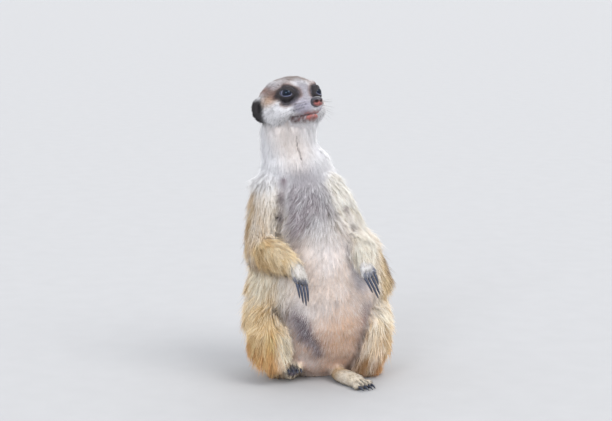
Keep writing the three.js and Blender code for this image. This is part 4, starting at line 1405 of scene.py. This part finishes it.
class MEERKAT_OT_coat(Operator):
    """Grow the coat over the skin: closed tufts in locks, with the skin's own markings"""

    bl_idname = "meerkat.coat"
    bl_label = "Coat"

    def execute(self, context):
        settings = context.scene.meerkat_coat
        skin = bpy.data.objects.get(SKIN_NAME)
        if skin is None:
            raise RuntimeError("the coat needs the skin first")
        mesh = skin.data
        points, edges, faces = read_mesh(mesh)
        owner = np.round(get_attribute(mesh, "owner", "FLOAT")).astype(int)
        colour = get_attribute(mesh, "coat_colour", "FLOAT_COLOR")
        lie = get_attribute(mesh, "coat_lie", "FLOAT_VECTOR")
        normals = corner_normals(points, faces)
        smooth = unit(spread(normals, edges, 6))
        thick, *others = growth_fields(points, normals, owner)
        length, width, stand, gather, differ = (spread(v, edges, 5) for v in others)
        hollow = ((spread(points, edges, 14) - points) * smooth).sum(1)
        stand = stand + CREASE_STAND * ease(hollow, *CREASE_DEPTH)
        pale = colours()["white"] * 0.9
        thin = front_of_body(points, normals) * on(owner, "trunk")
        random = np.random.default_rng(settings.seed)
        lock = locks(edges, len(points), LOCK_SHARE, random)
        lock_lean = random.normal(0, 1, (len(points), 2))
        lock_shade, strand_lean, strand_shade = (random.normal(0, 1, len(points)) for _ in range(3))
        loops = np.empty(len(mesh.loops) * 2, np.float32)
        mesh.uv_layers[COAT_UV].data.foreach_get("uv", loops)
        corner_uv = loops.reshape(-1, 3, 2).astype(float)
        share = settings.amount * 1.0
        material = painted_material(
            "coat", "coat_colour", 120.0, 1500.0, 0.3, Roughness=0.7, Sheen_Weight=0.15, Sheen_Roughness=0.4
        )

        def grow(name, tri, weight):
            """One piece of coat, with a tuft at each place on the skin's triangles."""

            def mixed(values):
                w = weight[:, :, None] if values.ndim > 1 else weight
                return (values[faces[tri]] * w).sum(1)

            count = len(tri)
            root, normal, direction = mixed(points), unit(mixed(smooth)), mixed(lie)
            direction = unit(direction - normal * (direction * normal).sum(1, keepdims=True))
            strand = faces[tri, 0]
            own = lock[strand]
            held = mixed(gather)
            lean = 0.12 * random.normal(0, 1, count) + 0.13 * strand_lean[strand]
            lean += 0.16 * lock_lean[own, 0] * np.minimum(held * 2, 1)
            direction = unit(direction + lean[:, None] * np.cross(normal, direction))
            stray = random.random(count) < STRAY_SHARE
            long = mixed(length) * np.clip(random.normal(1, 0.2, count), 0.5, 1.6) * (1 + 0.25 * stray)
            raised = np.clip(random.normal(1, 0.35, count) + 0.18 * lock_lean[own, 1], 0.25, 2.4)
            raised *= mixed(stand) * (1 + 0.8 * stray)
            wide = mixed(width) * random.uniform(0.75, 1.25, count)
            way = long[:, None] * direction
            pull = (points[own] + 0.9 * way - root - way) * held[:, None]
            pull = pull - normal * (pull * normal).sum(1, keepdims=True)
            far = np.linalg.norm(pull, axis=1, keepdims=True)
            pull = pull * np.minimum(1, LONGEST_PULL / np.maximum(far, 1e-9))
            light = 0.15 * random.normal(0, 1, count) + 0.15 * strand_shade[strand] + 0.1 * lock_shade[own]
            light = np.clip(1 + mixed(differ) * light, 0.35, 1.5)
            tint = mixed(colour)
            tint = tint + (pale - tint) * (0.4 * mixed(thin) * random.random(count))[:, None]
            tint = strand_colour(tint, light)
            # darker roots where the coat gathers into locks: partly the hair's own darker base, partly
            # painted shade deep in the coat
            dark = 0.98 - 0.12 * ease(held, 0.08, 0.2) - 0.3 * ease(held, 0.2, 0.7)
            corners, bent, shade, tris = tuft_arrays(
                root, normal, direction, long, wide, raised, pull, tint, dark, random
            )
            corners[:, 2] = np.maximum(corners[:, 2], LOWEST_TUFT)
            coat = make_mesh(name, corners, tris)
            set_attribute(coat.data, "coat_colour", "FLOAT_COLOR", shade)
            layer = coat.data.uv_layers.new(name=COAT_UV)
            patches = tuft_patches((corner_uv[tri] * weight[:, :, None]).sum(1))
            layer.data.foreach_set("uv", patches[tris.ravel()].astype(np.float32).ravel())
            coat.data.normals_split_custom_set_from_vertices(bent)
            finish_piece(coat, material)

        for piece, (starts, parts, slot) in COAT_PIECES.items():
            chosen = np.flatnonzero(on(owner, *starts)[faces].sum(1) >= 2)
            triangle, weight = pick_roots(points, faces, chosen, thick, share, random)
            order = random.permutation(len(triangle))
            for part in range(parts):
                pick = order[part::parts]
                grow(piece if parts == 1 else f"{piece}_{part + 1}", triangle[pick], weight[pick])
        return {"FINISHED"}


# ---- whiskers ----


def whisker_arrays(roots, directions, lengths, radius, sag, rings=6, sides=4):
    """Thin closed cones along root + length * t * direction - sag * length * t^2 downwards."""
    t = np.linspace(0, 1, rings + 1)[None, :, None]
    down = np.array([0, 0, -1.0])
    line = roots[:, None] + lengths[:, None, None] * (t * directions[:, None] + sag * t**2 * down)
    side = unit(np.cross(directions, down))
    turn = np.linspace(0, 2 * math.pi, sides, endpoint=False)[:, None]
    ring = np.cos(turn) * side[:, None] + np.sin(turn) * np.cross(side, directions)[:, None]
    thick = radius * (1 - t[:, :-1, :, None] ** 1.5 * 0.9)
    body = line[:, :-1, None] + thick * ring[:, None]
    points = np.concatenate([body.reshape(len(roots), -1, 3), line[:, -1:]], axis=1)
    return points.reshape(-1, 3), spike_faces(points, rings, sides)


class MEERKAT_OT_whiskers(Operator):
    """Grow the whiskers from the sides of the muzzle"""

    bl_idname = "meerkat.whiskers"
    bl_label = "Whiskers"

    def execute(self, context):
        settings = context.scene.meerkat_coat
        if not settings.whiskers:
            return {"FINISHED"}
        random = np.random.default_rng(settings.seed + 1)
        roots, directions, lengths = [], [], []
        for side, row, column in itertools.product(SIDES.values(), range(3), range(4)):
            roots.append((38 - 3 * column - 0.8 * row, side * (4.6 + 0.9 * column), -5.6 - 2.2 * row))
            way = np.array([0.35 - 0.28 * column, side, 0.12 - 0.28 * row])
            directions.append(unit(way + random.normal(0, 0.06, 3)))
            lengths.append(13 + 3.2 * column + random.uniform(-2, 2))
        points, faces = whisker_arrays(
            from_head(roots), np.array(directions) @ HEAD_AXES, np.array(lengths) * MM, 0.11 * MM, 0.12
        )
        whiskers = make_mesh("whiskers", points, faces)
        material = two_tone_material("whisker", 160.0, (70, 64, 66), (190, 186, 188), 0.45)
        finish_piece(whiskers, material)
        return {"FINISHED"}


# ---- floor, lights and camera ----

CAMERA_AT = (-0.3239, -1.3578, 0.3599)
CAMERA_LOOKS_AT = (-0.005, 0.0232, 0.1355)
CAMERA_LENS = 100.0
FLOOR_RADIUS = 40.0


def aim(obj, at, target):
    """Places an object and turns its -Z axis to the target."""
    obj.location = at
    obj.rotation_mode = "QUATERNION"
    obj.rotation_quaternion = (Vector(target) - Vector(at)).to_track_quat("-Z", "Y")


def floor_surface(rings=5, around=64):
    """A flat disc at z = 0: points at radius r and angle t are (r cos t, r sin t, 0)."""
    radius = FLOOR_RADIUS * (np.arange(1, rings + 1)[:, None] / rings) ** 2
    turn = np.linspace(0, 2 * math.pi, around, endpoint=False)
    grid = np.stack([radius * np.cos(turn), radius * np.sin(turn), np.zeros((rings, around))], -1)
    return np.concatenate([grid.reshape(-1, 3), np.zeros((1, 3))]), ring_faces(rings, around, closed=False)


def soft_sun(name, comes_from, width, strength, colour):
    """A distant light as many degrees wide, shining from that direction to the origin."""
    data = bpy.data.lights.new(name, "SUN")
    data.energy = strength
    data.angle = math.radians(width)
    data.color = colour
    light = bpy.data.objects.new(name, data)
    bpy.context.scene.collection.objects.link(light)
    aim(light, comes_from, (0, 0, 0))


SUNS = (  # name, where it shines from, width in degrees, strength and colour
    ("key", (0.45, -0.7, 0.9), 36, 1.4, (1.0, 0.985, 0.955)),
    ("fill", (-0.6, -0.85, 0.5), 22, 0.95, (0.86, 0.93, 1.0)),
    ("back", (0.5, 1.0, 0.8), 50, 0.5, (1.0, 0.99, 0.97)),
)


class MEERKAT_OT_stage(Operator):
    """Set the plain pale floor, the soft lights and the camera"""

    bl_idname = "meerkat.stage"
    bl_label = "Stage"

    def execute(self, context):
        scene = context.scene
        scene.view_settings.view_transform = "Standard"
        floor = make_mesh("floor", *floor_surface())
        floor.data.materials.append(two_tone_material("floor", 40.0, (180, 180, 182), (186, 186, 188), 0.9))
        world = bpy.data.worlds.new("soft sky")
        world.use_nodes = True
        sky = world.node_tree.nodes["Background"]
        sky.inputs["Color"].default_value = (0.95, 0.97, 1.0, 1)
        sky.inputs["Strength"].default_value = 1.04
        scene.world = world
        for sun in SUNS:
            soft_sun(*sun)
        data = bpy.data.cameras.new("camera")
        data.lens = CAMERA_LENS
        data.sensor_width = 36
        data.clip_start = 0.05
        data.clip_end = 200
        camera = bpy.data.objects.new("camera", data)
        scene.collection.objects.link(camera)
        aim(camera, CAMERA_AT, CAMERA_LOOKS_AT)
        scene.camera = camera
        return {"FINISHED"}


# ---- the add-on ----

STEPS = (
    MEERKAT_OT_stage,
    MEERKAT_OT_skin,
    MEERKAT_OT_eyes,
    MEERKAT_OT_nose,
    MEERKAT_OT_claws,
    MEERKAT_OT_whiskers,
    MEERKAT_OT_coat,
)


class MEERKAT_PT_panel(Panel):
    """Lists the steps that build the meerkat, in order, with their settings"""

    bl_idname = "MEERKAT_PT_panel"
    bl_label = "Meerkat"
    bl_space_type = "VIEW_3D"
    bl_region_type = "UI"
    bl_category = "Meerkat"

    def draw(self, context):
        layout = self.layout
        for step in STEPS:
            layout.operator(step.bl_idname)
        scene = context.scene
        for group, kind in ((scene.meerkat_coat, MeerkatCoat), (scene.meerkat_colours, MeerkatColours)):
            box = layout.box()
            for name in kind.__annotations__:
                box.prop(group, name)


CLASSES = (MeerkatColours, MeerkatCoat, *STEPS, MEERKAT_PT_panel)


def register():
    """Registers the classes and hangs their settings on the scene."""
    for item in CLASSES:
        bpy.utils.register_class(item)
    bpy.types.Scene.meerkat_colours = PointerProperty(type=MeerkatColours)
    bpy.types.Scene.meerkat_coat = PointerProperty(type=MeerkatCoat)


def unregister():
    """Takes the settings and the classes away again."""
    del bpy.types.Scene.meerkat_coat
    del bpy.types.Scene.meerkat_colours
    for item in reversed(CLASSES):
        bpy.utils.unregister_class(item)


def main():
    """Builds everything in order."""
    register()
    for step in STEPS:
        group, name = step.bl_idname.split(".")
        getattr(getattr(bpy.ops, group), name)()


if __name__ == "__main__":
    main()
